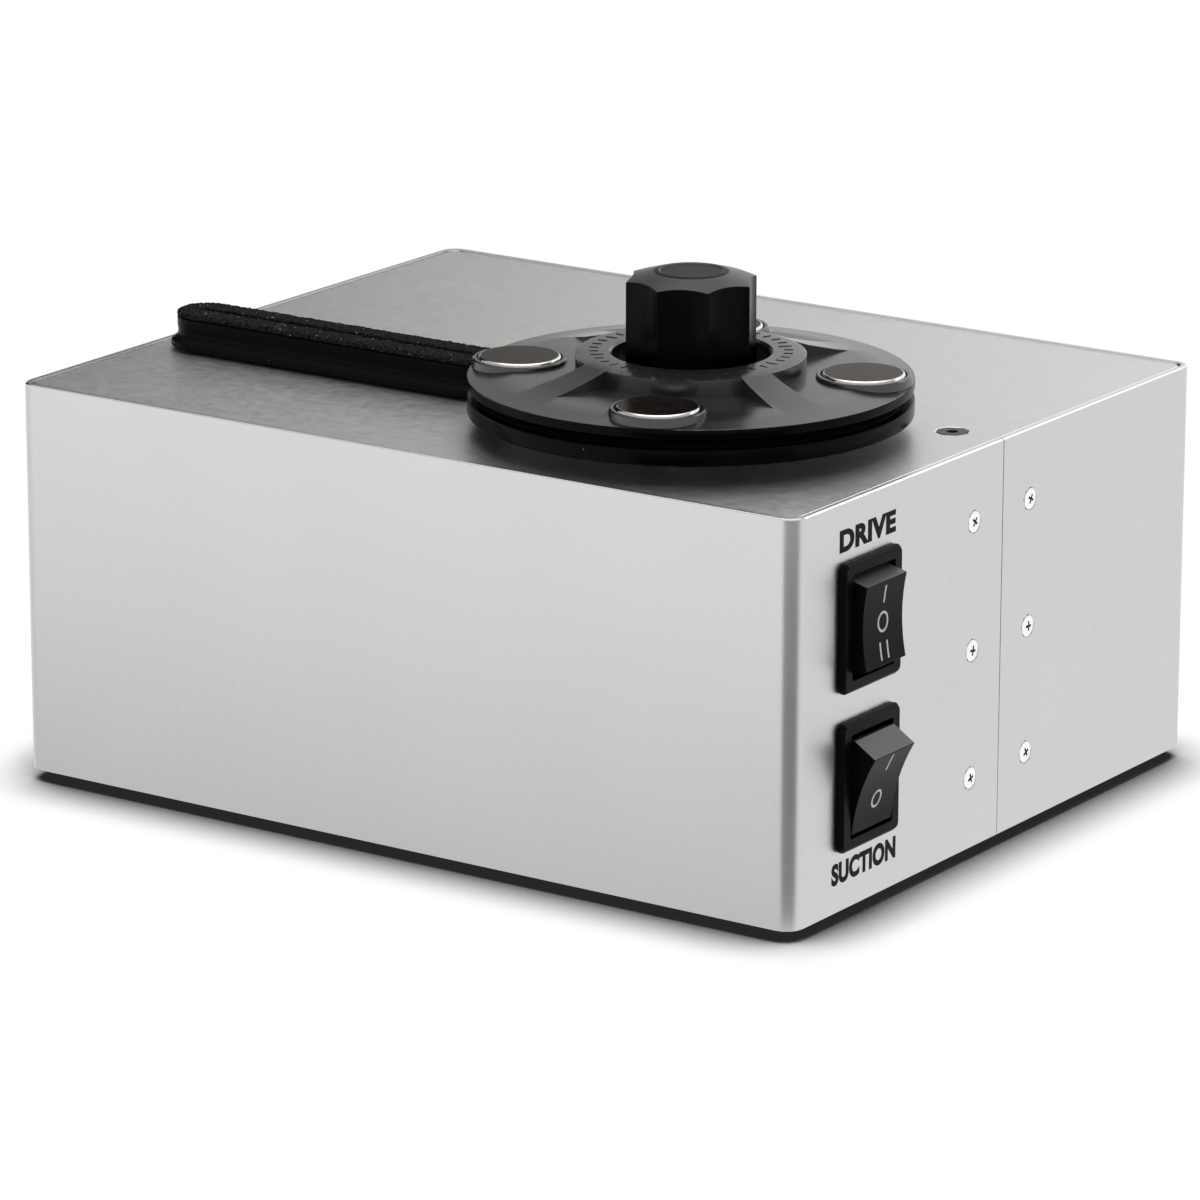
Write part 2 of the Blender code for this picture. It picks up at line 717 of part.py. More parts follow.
def make_front_shell(case, screw_holes):
    """The front and the front halves of the sides, with the switch windows and the drain hole."""
    shell = make_piece("front_shell", half_shell(-1), ALUMINIUM, case)
    window = rounded_rectangle(
        SWITCH_BODY_WIDTH + 2 * SEAT_GAP,
        SWITCH_BODY_HEIGHT + 2 * SEAT_GAP,
        SWITCH_BODY_CORNER + SEAT_GAP,
    )
    inside = CASE_WIDTH / 2 - CASE_SHEET - CUT_OVERRUN
    outside = CASE_WIDTH / 2 + CUT_OVERRUN
    bm = bmesh.new()
    for height in (DRIVE_SWITCH_HEIGHT, VACUUM_SWITCH_HEIGHT):
        raised = [(SWITCH_Y + u, height + v) for u, v in window]
        add_prism(bm, raised, inside, outside, along_x)
    hole = cylinder_profile(
        DRAIN_NECK_RADIUS + SEAT_GAP, -CASE_SHEET - CUT_OVERRUN, CUT_OVERRUN
    )
    add_turned(bm, hole, ROUND_SEGMENTS, facing_x(-1, (-CASE_WIDTH / 2, DRAIN_Y, DRAIN_HEIGHT)))
    combine(shell, make_tool("front_shell_windows", bm, case), "DIFFERENCE")
    combine(shell, screw_holes, "DIFFERENCE")


def make_rear_shell(case, screw_holes):
    """The rear and the rear halves of the sides, with exhaust slots and the mains inlet window."""
    shell = make_piece("rear_shell", half_shell(1), ALUMINIUM, case)
    inside = CASE_DEPTH / 2 - CASE_SHEET - CUT_OVERRUN
    outside = CASE_DEPTH / 2 + CUT_OVERRUN
    half_slot = VENT_LENGTH / 2 - VENT_RADIUS
    slot = stadium(-half_slot, half_slot, VENT_RADIUS, CORNER_STEPS)
    bm = bmesh.new()
    for index in range(VENT_COUNT):
        x = FAN_X + (index - (VENT_COUNT - 1) / 2) * VENT_PITCH
        upright = [(x + v, FAN_HEIGHT + u) for u, v in slot]
        add_prism(bm, upright, inside, outside, along_y)
    window = rounded_rectangle(
        INLET_BODY_WIDTH + 2 * SEAT_GAP,
        INLET_BODY_HEIGHT + 2 * SEAT_GAP,
        INLET_BODY_CORNER + SEAT_GAP,
    )
    placed = [(INLET_X + u, INLET_HEIGHT + v) for u, v in window]
    add_prism(bm, placed, inside, outside, along_y)
    combine(shell, make_tool("rear_shell_windows", bm, case), "DIFFERENCE")
    combine(shell, screw_holes, "DIFFERENCE")


def inner_plan(inset=0):
    """The plan of what fits inside the shells, drawn in by an inset."""
    shrink = 2 * (EDGE_GAP + inset)
    return rounded_rectangle(INNER_WIDTH - shrink, INNER_DEPTH - shrink, CASE_INNER_CORNER - inset)


def make_deck_plate(case, screw_holes):
    """The flat top plate with broken edges, let into the rim of the shells."""
    bm = loft(
        [
            (inner_plan(), DECK_UNDERSIDE),
            (inner_plan(), DECK_TOP - DECK_EDGE),
            (inner_plan(DECK_EDGE), DECK_TOP),
        ]
    )
    deck = make_piece("deck_plate", bm, ALUMINIUM, case)
    bm = bmesh.new()
    below = DECK_UNDERSIDE - CUT_OVERRUN
    above = DECK_TOP + CUT_OVERRUN
    slot = stadium(NOZZLE_LEFT, NOZZLE_RIGHT, NOZZLE_STEM_RADIUS + SEAT_GAP)
    add_prism(bm, [(u, SPINDLE_Y + v) for u, v in slot], below, above)
    hole = cylinder_profile(BUSH_RADIUS + SEAT_GAP, below, above)
    add_turned(bm, hole, ROUND_SEGMENTS, Matrix.Translation((SPINDLE_X, SPINDLE_Y, 0)))
    combine(deck, make_tool("deck_openings", bm, case), "DIFFERENCE")
    combine(deck, screw_holes, "DIFFERENCE")


def foot_places():
    """The name and plan position of each foot."""
    x = CASE_WIDTH / 2 - FOOT_INSET_X
    y = CASE_DEPTH / 2 - FOOT_INSET_Y
    return (
        ("foot_front_left", -x, -y),
        ("foot_front_right", x, -y),
        ("foot_rear_left", -x, y),
        ("foot_rear_right", x, y),
    )


def make_base_plate(case):
    """The folded floor with holes for the feet and posts for the circuit board."""
    section = channel(INNER_DEPTH - 2 * EDGE_GAP, BASE_FLANGE, BASE_SHEET)
    reach = INNER_WIDTH / 2
    base = make_piece("base_plate", prism(section, -reach, reach, along_x), BLACK_STEEL, case)
    trim = prism(inner_plan(), -CUT_OVERRUN, BASE_FLANGE + CUT_OVERRUN)
    combine(base, make_tool("base_trim", trim, case), "INTERSECT")
    posts = bmesh.new()
    post = cylinder_profile(POST_RADIUS, BASE_SHEET / 2, BOARD_HEIGHT - SEAT_GAP)
    for x, y in board_corners():
        add_turned(posts, post, SMALL_SEGMENTS, Matrix.Translation((x, y, 0)))
    combine(base, make_tool("board_posts", posts, case), "UNION")
    holes = bmesh.new()
    hole = cylinder_profile(FOOT_STEM_RADIUS + SEAT_GAP, -CUT_OVERRUN, BASE_SHEET + CUT_OVERRUN)
    for _, x, y in foot_places():
        add_turned(holes, hole, SMALL_SEGMENTS, Matrix.Translation((x, y, 0)))
    combine(base, make_tool("foot_holes", holes, case), "DIFFERENCE")


def make_feet(case):
    """Four rubber feet, each pushed through the floor with a barbed stem."""
    barb = BASE_SHEET + 2 * SEAT_GAP
    bottom = SEAT_GAP - FOOT_HEIGHT
    profile = [
        (0, barb + FOOT_BARB_HEIGHT),
        (FOOT_STEM_RADIUS, barb + FOOT_BARB_HEIGHT),
        (FOOT_BARB_RADIUS, barb),
        (FOOT_STEM_RADIUS, barb),
        (FOOT_STEM_RADIUS, 0),
        (FOOT_RADIUS, 0),
        (FOOT_RADIUS, bottom + FOOT_EDGE),
        (FOOT_RADIUS - FOOT_EDGE, bottom),
        (0, bottom),
    ]
    for name, x, y in foot_places():
        make_piece(name, turned(profile, SMALL_SEGMENTS), RUBBER, case, (x, y, -SEAT_GAP))


def make_side_brackets(case, side_holes, deck_holes):
    """A folded bracket inside each side that joins the shells, the deck and the floor."""
    height = DECK_UNDERSIDE - BASE_SHEET - 2 * SEAT_GAP
    middle = (DECK_UNDERSIDE + BASE_SHEET) / 2
    section = channel(height, BRACKET_TAB, BRACKET_SHEET)
    for side_name, side in (("left", -1), ("right", 1)):
        wall = INNER_WIDTH / 2 - SEAT_GAP
        outline = [(side * (wall - v), middle + u) for u, v in section]
        bm = prism(outline, -BRACKET_WIDTH / 2, BRACKET_WIDTH / 2, along_y)
        bracket = make_piece(f"side_bracket_{side_name}", bm, STEEL, case)
        combine(bracket, side_holes, "DIFFERENCE")
        combine(bracket, deck_holes, "DIFFERENCE")


def nozzle_sections():
    """The stem, the rounded foot, the waist and the upright wall of the suction bar."""
    bead = NOZZLE_BEAD_RADIUS
    centre = (NOZZLE_FOOT_RADIUS - bead, bead + SEAT_GAP)
    top = NOZZLE_HEIGHT - PAD_THICKNESS - SEAT_GAP
    shape = [
        (NOZZLE_STEM_RADIUS, TANK_TOP + SEAT_GAP - DECK_TOP),
        (NOZZLE_STEM_RADIUS, SEAT_GAP),
    ]
    shape += arc(centre, bead, -math.pi / 2, NOZZLE_BEAD_END, CORNER_STEPS)
    shape += [
        (NOZZLE_THROAT_RADIUS, NOZZLE_THROAT_HEIGHT),
        (NOZZLE_WAIST_RADIUS, NOZZLE_WAIST_HEIGHT),
        (NOZZLE_RADIUS, NOZZLE_SHOULDER_HEIGHT),
        (NOZZLE_RADIUS, top),
    ]
    return [(stadium(NOZZLE_LEFT, NOZZLE_RIGHT, radius), level) for radius, level in shape]


def make_nozzle(bar):
    """The slotted suction bar and the velvet strip on top of it."""
    body = make_piece("nozzle_body", loft(nozzle_sections()), SATIN_BLACK, bar)
    outline = stadium(NOZZLE_LEFT, NOZZLE_RIGHT, NOZZLE_RADIUS)
    bm = prism(outline, NOZZLE_HEIGHT - PAD_THICKNESS, NOZZLE_HEIGHT)
    pad = make_piece("velvet_pad", bm, VELVET, bar)
    slot = stadium(NOZZLE_LEFT, NOZZLE_RIGHT, NOZZLE_SLOT_RADIUS)
    bottom = TANK_TOP - DECK_TOP - CUT_OVERRUN
    tool = make_tool("suction_slot", prism(slot, bottom, NOZZLE_HEIGHT + CUT_OVERRUN), bar)
    combine(body, tool, "DIFFERENCE")
    combine(pad, tool, "DIFFERENCE")


def tank_outline(grow):
    """The tank's plan, grown outwards by a margin, or inwards where it is negative."""
    width = TANK_LEFT - TANK_RIGHT + 2 * grow
    depth = TANK_FRONT - TANK_REAR + 2 * grow
    x = -(TANK_LEFT + TANK_RIGHT) / 2
    y = -(TANK_FRONT + TANK_REAR) / 2
    return [(x + u, y + v) for u, v in rounded_rectangle(width, depth, TANK_CORNER + grow)]


def drain_frame(distance):
    """A frame on the drain's axis, facing left, at a distance from the middle of the case."""
    return facing_x(-1, (-distance, DRAIN_Y, DRAIN_HEIGHT))


def make_waste_tank(case):
    """The moulded tank: open top with a lip, two skids, a drain neck and an air outlet."""
    bm = loft(
        [
            (tank_outline(0), TANK_BOTTOM),
            (tank_outline(0), TANK_TOP - TANK_LIP_HEIGHT),
            (tank_outline(TANK_LIP), TANK_TOP - TANK_LIP_HEIGHT),
            (tank_outline(TANK_LIP), TANK_TOP),
        ]
    )
    tank = make_piece("waste_tank", bm, TANK_PLASTIC, case)
    added = bmesh.new()
    half_wall = TANK_WALL / 2
    quarter_length = (TANK_LEFT - TANK_RIGHT) / 4
    for x in (-TANK_LEFT + quarter_length, -TANK_RIGHT - quarter_length):
        half = TANK_SKID_WIDTH / 2
        front = -TANK_FRONT + TANK_CORNER
        rear = -TANK_REAR - TANK_CORNER
        skid = [(x - half, front), (x + half, front), (x + half, rear), (x - half, rear)]
        add_prism(added, skid, BASE_SHEET + SEAT_GAP, TANK_BOTTOM + half_wall)
    neck = CASE_WIDTH / 2 + DRAIN_REACH - TANK_LEFT
    profile = cylinder_profile(DRAIN_NECK_RADIUS, -half_wall, neck)
    add_turned(added, profile, ROUND_SEGMENTS, drain_frame(TANK_LEFT))
    profile = cylinder_profile(OUTLET_RADIUS, -half_wall, OUTLET_LENGTH)
    add_turned(added, profile, ROUND_SEGMENTS, facing_y((FAN_X, -TANK_REAR, OUTLET_HEIGHT)))
    combine(tank, make_tool("tank_necks", added, case), "UNION")
    cavity = prism(tank_outline(-TANK_WALL), TANK_BOTTOM + TANK_WALL, TANK_TOP + CUT_OVERRUN)
    combine(tank, make_tool("tank_cavity", cavity, case), "DIFFERENCE")
    bores = bmesh.new()
    profile = cylinder_profile(DRAIN_BORE, -TANK_WALL - CUT_OVERRUN, neck + CUT_OVERRUN)
    add_turned(bores, profile, ROUND_SEGMENTS, drain_frame(TANK_LEFT))
    profile = cylinder_profile(OUTLET_BORE, -TANK_WALL - CUT_OVERRUN, OUTLET_LENGTH + CUT_OVERRUN)
    add_turned(bores, profile, ROUND_SEGMENTS, facing_y((FAN_X, -TANK_REAR, OUTLET_HEIGHT)))
    combine(tank, make_tool("tank_bores", bores, case), "DIFFERENCE")


def make_tank_lid(case):
    """The lid with a collar round the suction bar's stem."""
    bottom = TANK_TOP + SEAT_GAP
    top = bottom + LID_THICKNESS
    lid = make_piece("tank_lid", prism(tank_outline(TANK_LIP), bottom, top), SATIN_BLACK, case)
    hole_radius = NOZZLE_STEM_RADIUS + SEAT_GAP
    collar = stadium(NOZZLE_LEFT, NOZZLE_RIGHT, hole_radius + LID_COLLAR_WALL)
    bm = prism(collar, bottom + LID_THICKNESS / 2, top + LID_COLLAR)
    place = (0, SPINDLE_Y, 0)
    combine(lid, make_tool("lid_collar", bm, case, place), "UNION")
    hole = stadium(NOZZLE_LEFT, NOZZLE_RIGHT, hole_radius)
    bm = prism(hole, bottom - CUT_OVERRUN, top + LID_COLLAR + CUT_OVERRUN)
    combine(lid, make_tool("lid_slot", bm, case, place), "DIFFERENCE")


def make_drain_plug(drain):
    """A rubber stopper with a tapered stem."""
    radius = DRAIN_BORE - SEAT_GAP
    profile = [
        (0, SEAT_GAP + PLUG_HEAD),
        (PLUG_HEAD_RADIUS - PLUG_TAPER, SEAT_GAP + PLUG_HEAD),
        (PLUG_HEAD_RADIUS, SEAT_GAP + PLUG_HEAD - PLUG_TAPER),
        (PLUG_HEAD_RADIUS, SEAT_GAP),
        (radius, SEAT_GAP),
        (radius - PLUG_TAPER, -PLUG_STEM),
        (0, -PLUG_STEM),
    ]
    make_piece("drain_plug", turned(profile), RUBBER, drain)


def hose_ring(radius, height):
    """A closed circle in X and Z about the fan's line, at a height."""
    return arc((FAN_X, height), radius, 0, 2 * math.pi, HOSE_SEGMENTS)[:-1]


def hose_levels():
    """Pairs of depth position and height along the suction hose, with one smooth offset."""
    start = OUTLET_LENGTH - TANK_REAR
    end = FAN_FRONT - OUTLET_LENGTH
    levels = []
    for step in range(HOSE_STEPS + 1):
        share = step / HOSE_STEPS
        smooth = share * share * (3 - 2 * share)
        height = OUTLET_HEIGHT + (FAN_HEIGHT - OUTLET_HEIGHT) * smooth
        levels.append((start + (end - start) * share, height))
    return levels


def make_suction_hose(case):
    """The moulded hose from the tank's outlet to the fan's inlet."""
    bore = OUTLET_RADIUS + SEAT_GAP
    inner = hose_levels()
    front = SEAT_GAP - TANK_REAR
    rear = FAN_FRONT - SEAT_GAP
    outer = [(front, OUTLET_HEIGHT)] + inner + [(rear, FAN_HEIGHT)]
    bm = loft([(hose_ring(bore + HOSE_WALL, height), y) for y, height in outer], along_y)
    hose = make_piece("suction_hose", bm, RUBBER, case)
    longer = [(front - CUT_OVERRUN, OUTLET_HEIGHT)] + inner + [(rear + CUT_OVERRUN, FAN_HEIGHT)]
    bm = loft([(hose_ring(bore, height), y) for y, height in longer], along_y)
    combine(hose, make_tool("hose_bore", bm, case), "DIFFERENCE")


def make_fan_cover(fan):
    """The front plate of the fan with its inlet neck."""
    profile = [
        (OUTLET_BORE, -OUTLET_LENGTH),
        (OUTLET_BORE, FAN_COVER),
        (FAN_RADIUS, FAN_COVER),
        (FAN_RADIUS, 0),
        (OUTLET_RADIUS, 0),
        (OUTLET_RADIUS, -OUTLET_LENGTH),
    ]
    make_piece("fan_cover", turned(profile), SATIN_BLACK, fan)


def make_fan_housing(fan):
    """The cup round the impeller, with a ring of exhaust ports in its back."""
    start = FAN_COVER + SEAT_GAP
    shaft_hole = FAN_SHAFT_RADIUS + RUNNING_GAP
    profile = [
        (FAN_RADIUS, start),
        (FAN_RADIUS, FAN_DEPTH),
        (shaft_hole, FAN_DEPTH),
        (shaft_hole, FAN_DEPTH - FAN_WALL),
        (FAN_RADIUS - FAN_WALL, FAN_DEPTH - FAN_WALL),
        (FAN_RADIUS - FAN_WALL, start),
    ]
    housing = make_piece("fan_housing", turned(profile), SATIN_BLACK, fan)
    bm = bmesh.new()
    circle_radius = (MOTOR_FLANGE_RADIUS + FAN_RADIUS - FAN_WALL) / 2
    hole = cylinder_profile(
        FAN_PORT_RADIUS, FAN_DEPTH - FAN_WALL - CUT_OVERRUN, FAN_DEPTH + CUT_OVERRUN
    )
    for index in range(FAN_PORTS):
        angle = 2 * math.pi * index / FAN_PORTS
        place = (circle_radius * math.cos(angle), circle_radius * math.sin(angle), 0)
        add_turned(bm, hole, SMALL_SEGMENTS, Matrix.Translation(place))
    combine(housing, make_tool("fan_ports", bm, fan), "DIFFERENCE")


def blade_outline(start_angle):
    """One backward-swept blade in plan, from the eye to the rim."""
    leading = []
    trailing = []
    inner = IMPELLER_EYE + IMPELLER_BLADE
    outer = IMPELLER_RADIUS - IMPELLER_BLADE / 2
    for step in range(IMPELLER_BLADE_STEPS + 1):
        share = step / IMPELLER_BLADE_STEPS
        radius = inner + (outer - inner) * share
        angle = start_angle - IMPELLER_SWEEP * share
        half = IMPELLER_BLADE / 2 / radius
        leading.append((radius * math.cos(angle - half), radius * math.sin(angle - half)))
        trailing.append((radius * math.cos(angle + half), radius * math.sin(angle + half)))
    return leading + trailing[::-1]


def make_impeller(fan):
    """Back disc, hub and shaft in one turned piece, with swept blades and a front ring."""
    ring = FAN_COVER + SEAT_GAP + IMPELLER_CLEARANCE
    blades = ring + IMPELLER_DISC
    disc = blades + IMPELLER_BLADE_HEIGHT
    back = disc + IMPELLER_DISC
    shaft_end = FAN_DEPTH + SEAT_GAP + FAN_SHAFT_REACH
    profile = [
        (0, blades),
        (FAN_SHAFT_RADIUS, blades),
        (IMPELLER_HUB_RADIUS, (blades + disc) / 2),
        (IMPELLER_HUB_RADIUS, disc),
        (IMPELLER_RADIUS, disc),
        (IMPELLER_RADIUS, back),
        (FAN_SHAFT_RADIUS, back),
        (FAN_SHAFT_RADIUS, shaft_end),
        (0, shaft_end),
    ]
    impeller = make_piece("impeller", turned(profile), STEEL, fan)
    half = IMPELLER_DISC / 2
    bm = bmesh.new()
    for index in range(IMPELLER_BLADES):
        outline = blade_outline(2 * math.pi * index / IMPELLER_BLADES)
        add_prism(bm, outline, blades - half, disc + half)
    combine(impeller, make_tool("impeller_blades", bm, fan), "UNION")
    front = turned(tube_profile(IMPELLER_RADIUS, IMPELLER_EYE, ring, blades))
    combine(impeller, make_tool("impeller_ring", front, fan), "UNION")


def make_vacuum_motor(fan):
    """The fan's motor: mounting flange, can, rear bell and bearing boss, bored for the shaft."""
    start = FAN_DEPTH + SEAT_GAP
    can = start + MOTOR_FLANGE
    bell = can + MOTOR_CAN
    boss = bell + MOTOR_BELL
    end = boss + MOTOR_BOSS
    bore = FAN_SHAFT_RADIUS + RUNNING_GAP
    bore_end = start + FAN_SHAFT_REACH + SEAT_GAP
    profile = [
        (0, bore_end),
        (bore, bore_end),
        (bore, start),
        (MOTOR_FLANGE_RADIUS, start),
        (MOTOR_FLANGE_RADIUS, can),
        (MOTOR_RADIUS, can),
        (MOTOR_RADIUS, bell),
        (MOTOR_BELL_RADIUS, boss),
        (MOTOR_BOSS_RADIUS, boss),
        (MOTOR_BOSS_RADIUS, end),
        (0, end),
    ]
    make_piece("vacuum_motor", turned(profile), IRON, fan)


def make_motor_saddle(case):
    """The rubber block that carries the fan housing on the floor."""
    radius = FAN_RADIUS + SEAT_GAP
    reach = math.asin(SADDLE_HALF_WIDTH / radius)
    down = 3 * math.pi / 2
    floor = BASE_SHEET + SEAT_GAP
    outline = arc((FAN_X, FAN_HEIGHT), radius, down + reach, down - reach, SADDLE_STEPS)
    outline += [(FAN_X - SADDLE_HALF_WIDTH, floor), (FAN_X + SADDLE_HALF_WIDTH, floor)]
    start = FAN_FRONT + FAN_COVER + SEAT_GAP
    bm = prism(outline, start, start + SADDLE_LENGTH, along_y)
    make_piece("motor_saddle", bm, RUBBER, case)


def make_motor_bracket(drive):
    """The folded hat bracket that hangs the gear motor under the deck."""
    half = MOTOR_BRACKET_WIDTH / 2
    sheet = BRACKET_SHEET
    top = DECK_UNDERSIDE - SEAT_GAP
    plate = DECK_UNDERSIDE - MOTOR_BRACKET_DROP
    right = [
        (half, plate),
        (half, top - sheet),
        (half + MOTOR_BRACKET_FOOT, top - sheet),
        (half + MOTOR_BRACKET_FOOT, top),
        (half - sheet, top),
        (half - sheet, plate + sheet),
    ]
    left = [(-u, v) for u, v in reversed(right)]
    depth = MOTOR_BRACKET_DEPTH / 2
    bm = prism(right + left, GEARBOX_OFFSET - depth, GEARBOX_OFFSET + depth, along_y)
    bracket = make_piece("motor_bracket", bm, STEEL, drive)
    hole = cylinder_profile(
        GEARBOX_BOSS_RADIUS + SEAT_GAP, plate - CUT_OVERRUN, plate + sheet + CUT_OVERRUN
    )
    combine(bracket, make_tool("boss_hole", turned(hole), drive), "DIFFERENCE")


def make_gear_motor(drive):
    """The gearbox with its off-centre output boss, and the motor can under it."""
    top = DECK_UNDERSIDE - MOTOR_BRACKET_DROP - SEAT_GAP
    bottom = top - GEARBOX_LENGTH
    centre = (0, GEARBOX_OFFSET, 0)
    edge = GEARBOX_EDGE
    profile = [
        (0, top),
        (GEARBOX_RADIUS - edge, top),
        (GEARBOX_RADIUS, top - edge),
        (GEARBOX_RADIUS, bottom + edge),
        (GEARBOX_RADIUS - edge, bottom),
        (0, bottom),
    ]
    gearbox = make_piece("gearbox", turned(profile), STEEL, drive, centre)
    boss = turned(cylinder_profile(GEARBOX_BOSS_RADIUS, top - GEARBOX_BOSS, top + GEARBOX_BOSS))
    combine(gearbox, make_tool("gearbox_boss", boss, drive), "UNION")
    bore = cylinder_profile(
        DRIVE_SHAFT_RADIUS + RUNNING_GAP,
        top - DRIVE_SHAFT_IN_BOX - SEAT_GAP,
        top + GEARBOX_BOSS + CUT_OVERRUN,
    )
    combine(gearbox, make_tool("gearbox_bore", turned(bore), drive), "DIFFERENCE")
    can_top = bottom - SEAT_GAP
    can_bottom = can_top - GEAR_MOTOR_LENGTH
    profile = [
        (0, can_top),
        (GEAR_MOTOR_RADIUS, can_top),
        (GEAR_MOTOR_RADIUS, can_bottom + edge),
        (GEAR_MOTOR_RADIUS - edge, can_bottom),
        (0, can_bottom),
    ]
    make_piece("gear_motor", turned(profile), IRON, drive, centre)


def make_drive_line(turntable):
    """Gearbox shaft, coupler and spindle, which turn together. Heights are above the deck."""
    boss_top = -DECK_SHEET - MOTOR_BRACKET_DROP - SEAT_GAP + GEARBOX_BOSS
    coupler_bottom = boss_top + RUNNING_GAP
    coupler_top = SEAT_GAP - BUSH_LENGTH - RUNNING_GAP
    tail = coupler_top - COUPLER_ENTRY
    shaft_top = tail - SEAT_GAP
    shaft_bottom = boss_top - GEARBOX_BOSS - DRIVE_SHAFT_IN_BOX
    profile = cylinder_profile(DRIVE_SHAFT_RADIUS, shaft_bottom, shaft_top)
    make_piece("drive_shaft", turned(profile, SMALL_SEGMENTS), STEEL, turntable)
    shaft_bore = DRIVE_SHAFT_RADIUS + SEAT_GAP
    tail_bore = STUD_RADIUS + SEAT_GAP
    edge = COUPLER_EDGE
    profile = [
        (tail_bore, coupler_top),
        (COUPLER_RADIUS - edge, coupler_top),
        (COUPLER_RADIUS, coupler_top - edge),
        (COUPLER_RADIUS, coupler_bottom + edge),
        (COUPLER_RADIUS - edge, coupler_bottom),
        (shaft_bore, coupler_bottom),
        (shaft_bore, tail - SEAT_GAP),
        (tail_bore, tail - SEAT_GAP),
    ]
    make_piece("shaft_coupler", turned(profile, SMALL_SEGMENTS), BRASS, turntable)
    journal_bottom = coupler_top + RUNNING_GAP
    shoulder_bottom = SEAT_GAP + BUSH_FLANGE + RUNNING_GAP
    shoulder_top = PLATTER_CLEARANCE - SEAT_GAP
    stud_top = PLATTER_TOP + STUD_LENGTH
    profile = [
        (0, stud_top),
        (STUD_RADIUS - STUD_CHAMFER, stud_top),
        (STUD_RADIUS, stud_top - STUD_CHAMFER),
        (STUD_RADIUS, PLATTER_TOP),
        (JOURNAL_RADIUS, PLATTER_TOP),
        (JOURNAL_RADIUS, shoulder_top),
        (SHOULDER_RADIUS, shoulder_top),
        (SHOULDER_RADIUS, shoulder_bottom),
        (JOURNAL_RADIUS, shoulder_bottom),
        (JOURNAL_RADIUS, journal_bottom),
        (STUD_RADIUS, journal_bottom),
        (STUD_RADIUS, tail),
        (0, tail),
    ]
    make_piece("spindle", turned(profile, SMALL_SEGMENTS), STEEL, turntable)


def make_spindle_bush(case):
    """The flanged bearing bush let into the deck."""
    bore = JOURNAL_RADIUS + RUNNING_GAP
    flange_top = SEAT_GAP + BUSH_FLANGE
    bottom = SEAT_GAP - BUSH_LENGTH
    profile = [
        (bore, flange_top),
        (BUSH_FLANGE_RADIUS, flange_top),
        (BUSH_FLANGE_RADIUS, SEAT_GAP),
        (BUSH_RADIUS, SEAT_GAP),
        (BUSH_RADIUS, bottom),
        (bore, bottom),
    ]
    place = (SPINDLE_X, SPINDLE_Y, DECK_TOP)
    make_piece("spindle_bush", turned(profile), BRONZE, case, place)


def make_platter(turntable):
    """The turntable disc with its rubber mat let into the top."""
    edge = PLATTER_EDGE
    bore = JOURNAL_RADIUS + SEAT_GAP
    recess = PLATTER_TOP - MAT_THICKNESS - SEAT_GAP
    recess_radius = MAT_RADIUS + SEAT_GAP
    profile = [
        (bore, recess),
        (recess_radius, recess),
        (recess_radius, PLATTER_TOP),
        (PLATTER_RADIUS - edge, PLATTER_TOP),
        (PLATTER_RADIUS, PLATTER_TOP - edge),
        (PLATTER_RADIUS, PLATTER_CLEARANCE + edge),
        (PLATTER_RADIUS - edge, PLATTER_CLEARANCE),
        (bore, PLATTER_CLEARANCE),
    ]
    make_piece("platter", turned(profile, FINE_SEGMENTS), GLOSS_BLACK, turntable)
    profile = tube_profile(MAT_RADIUS, MAT_BORE, PLATTER_TOP - MAT_THICKNESS, PLATTER_TOP)
    make_piece("platter_mat", turned(profile, FINE_SEGMENTS), RUBBER, turntable)


def clamp_profile():
    """Half section of the clamp disc: ring, swept top, rim, seal groove and hub."""
    top = CLAMP_TOP
    ring_top = top + CLAMP_RING_HEIGHT
    floor_top = CLAMP_UNDERSIDE + CLAMP_FLOOR
    edge = CLAMP_RIM_EDGE
    hub = PLATTER_TOP + SEAT_GAP
    groove_top = CLAMP_UNDERSIDE + SEAL_THICKNESS - SEAL_PROUD + SEAT_GAP
    hole = INSERT_RADIUS + RUNNING_GAP
    return [
        (hole, CLAMP_UNDERSIDE),
        (hole, floor_top),
        (CLAMP_BORE_RADIUS, floor_top),
        (CLAMP_BORE_RADIUS, ring_top - CLAMP_BORE_EDGE),
        (CLAMP_BORE_RADIUS + CLAMP_BORE_EDGE, ring_top),
        (CLAMP_RING_TOP_RADIUS, ring_top),
        (CLAMP_RING_RADIUS, top + CLAMP_RING_EDGE_HEIGHT),
        (CLAMP_WAIST_RADIUS, top + CLAMP_WAIST_HEIGHT),
        (CLAMP_POCKET_RADIUS, top + CLAMP_POCKET_HEIGHT),
        (CLAMP_SHELF_RADIUS, top + CLAMP_SHELF_HEIGHT),
        (CLAMP_RADIUS - edge, top),
        (CLAMP_RADIUS, top - edge),
        (CLAMP_RADIUS, CLAMP_UNDERSIDE + edge),
        (CLAMP_RADIUS - edge, CLAMP_UNDERSIDE),
        (SEAL_RADIUS + SEAT_GAP, CLAMP_UNDERSIDE),
        (SEAL_RADIUS + SEAT_GAP, groove_top),
        (SEAL_BORE - SEAT_GAP, groove_top),
        (SEAL_BORE - SEAT_GAP, CLAMP_UNDERSIDE),
        (CLAMP_HUB_RADIUS, CLAMP_UNDERSIDE),
        (CLAMP_HUB_RADIUS, hub),
        (CLAMP_HUB_BORE, hub),
        (CLAMP_HUB_BORE, CLAMP_UNDERSIDE),
    ]


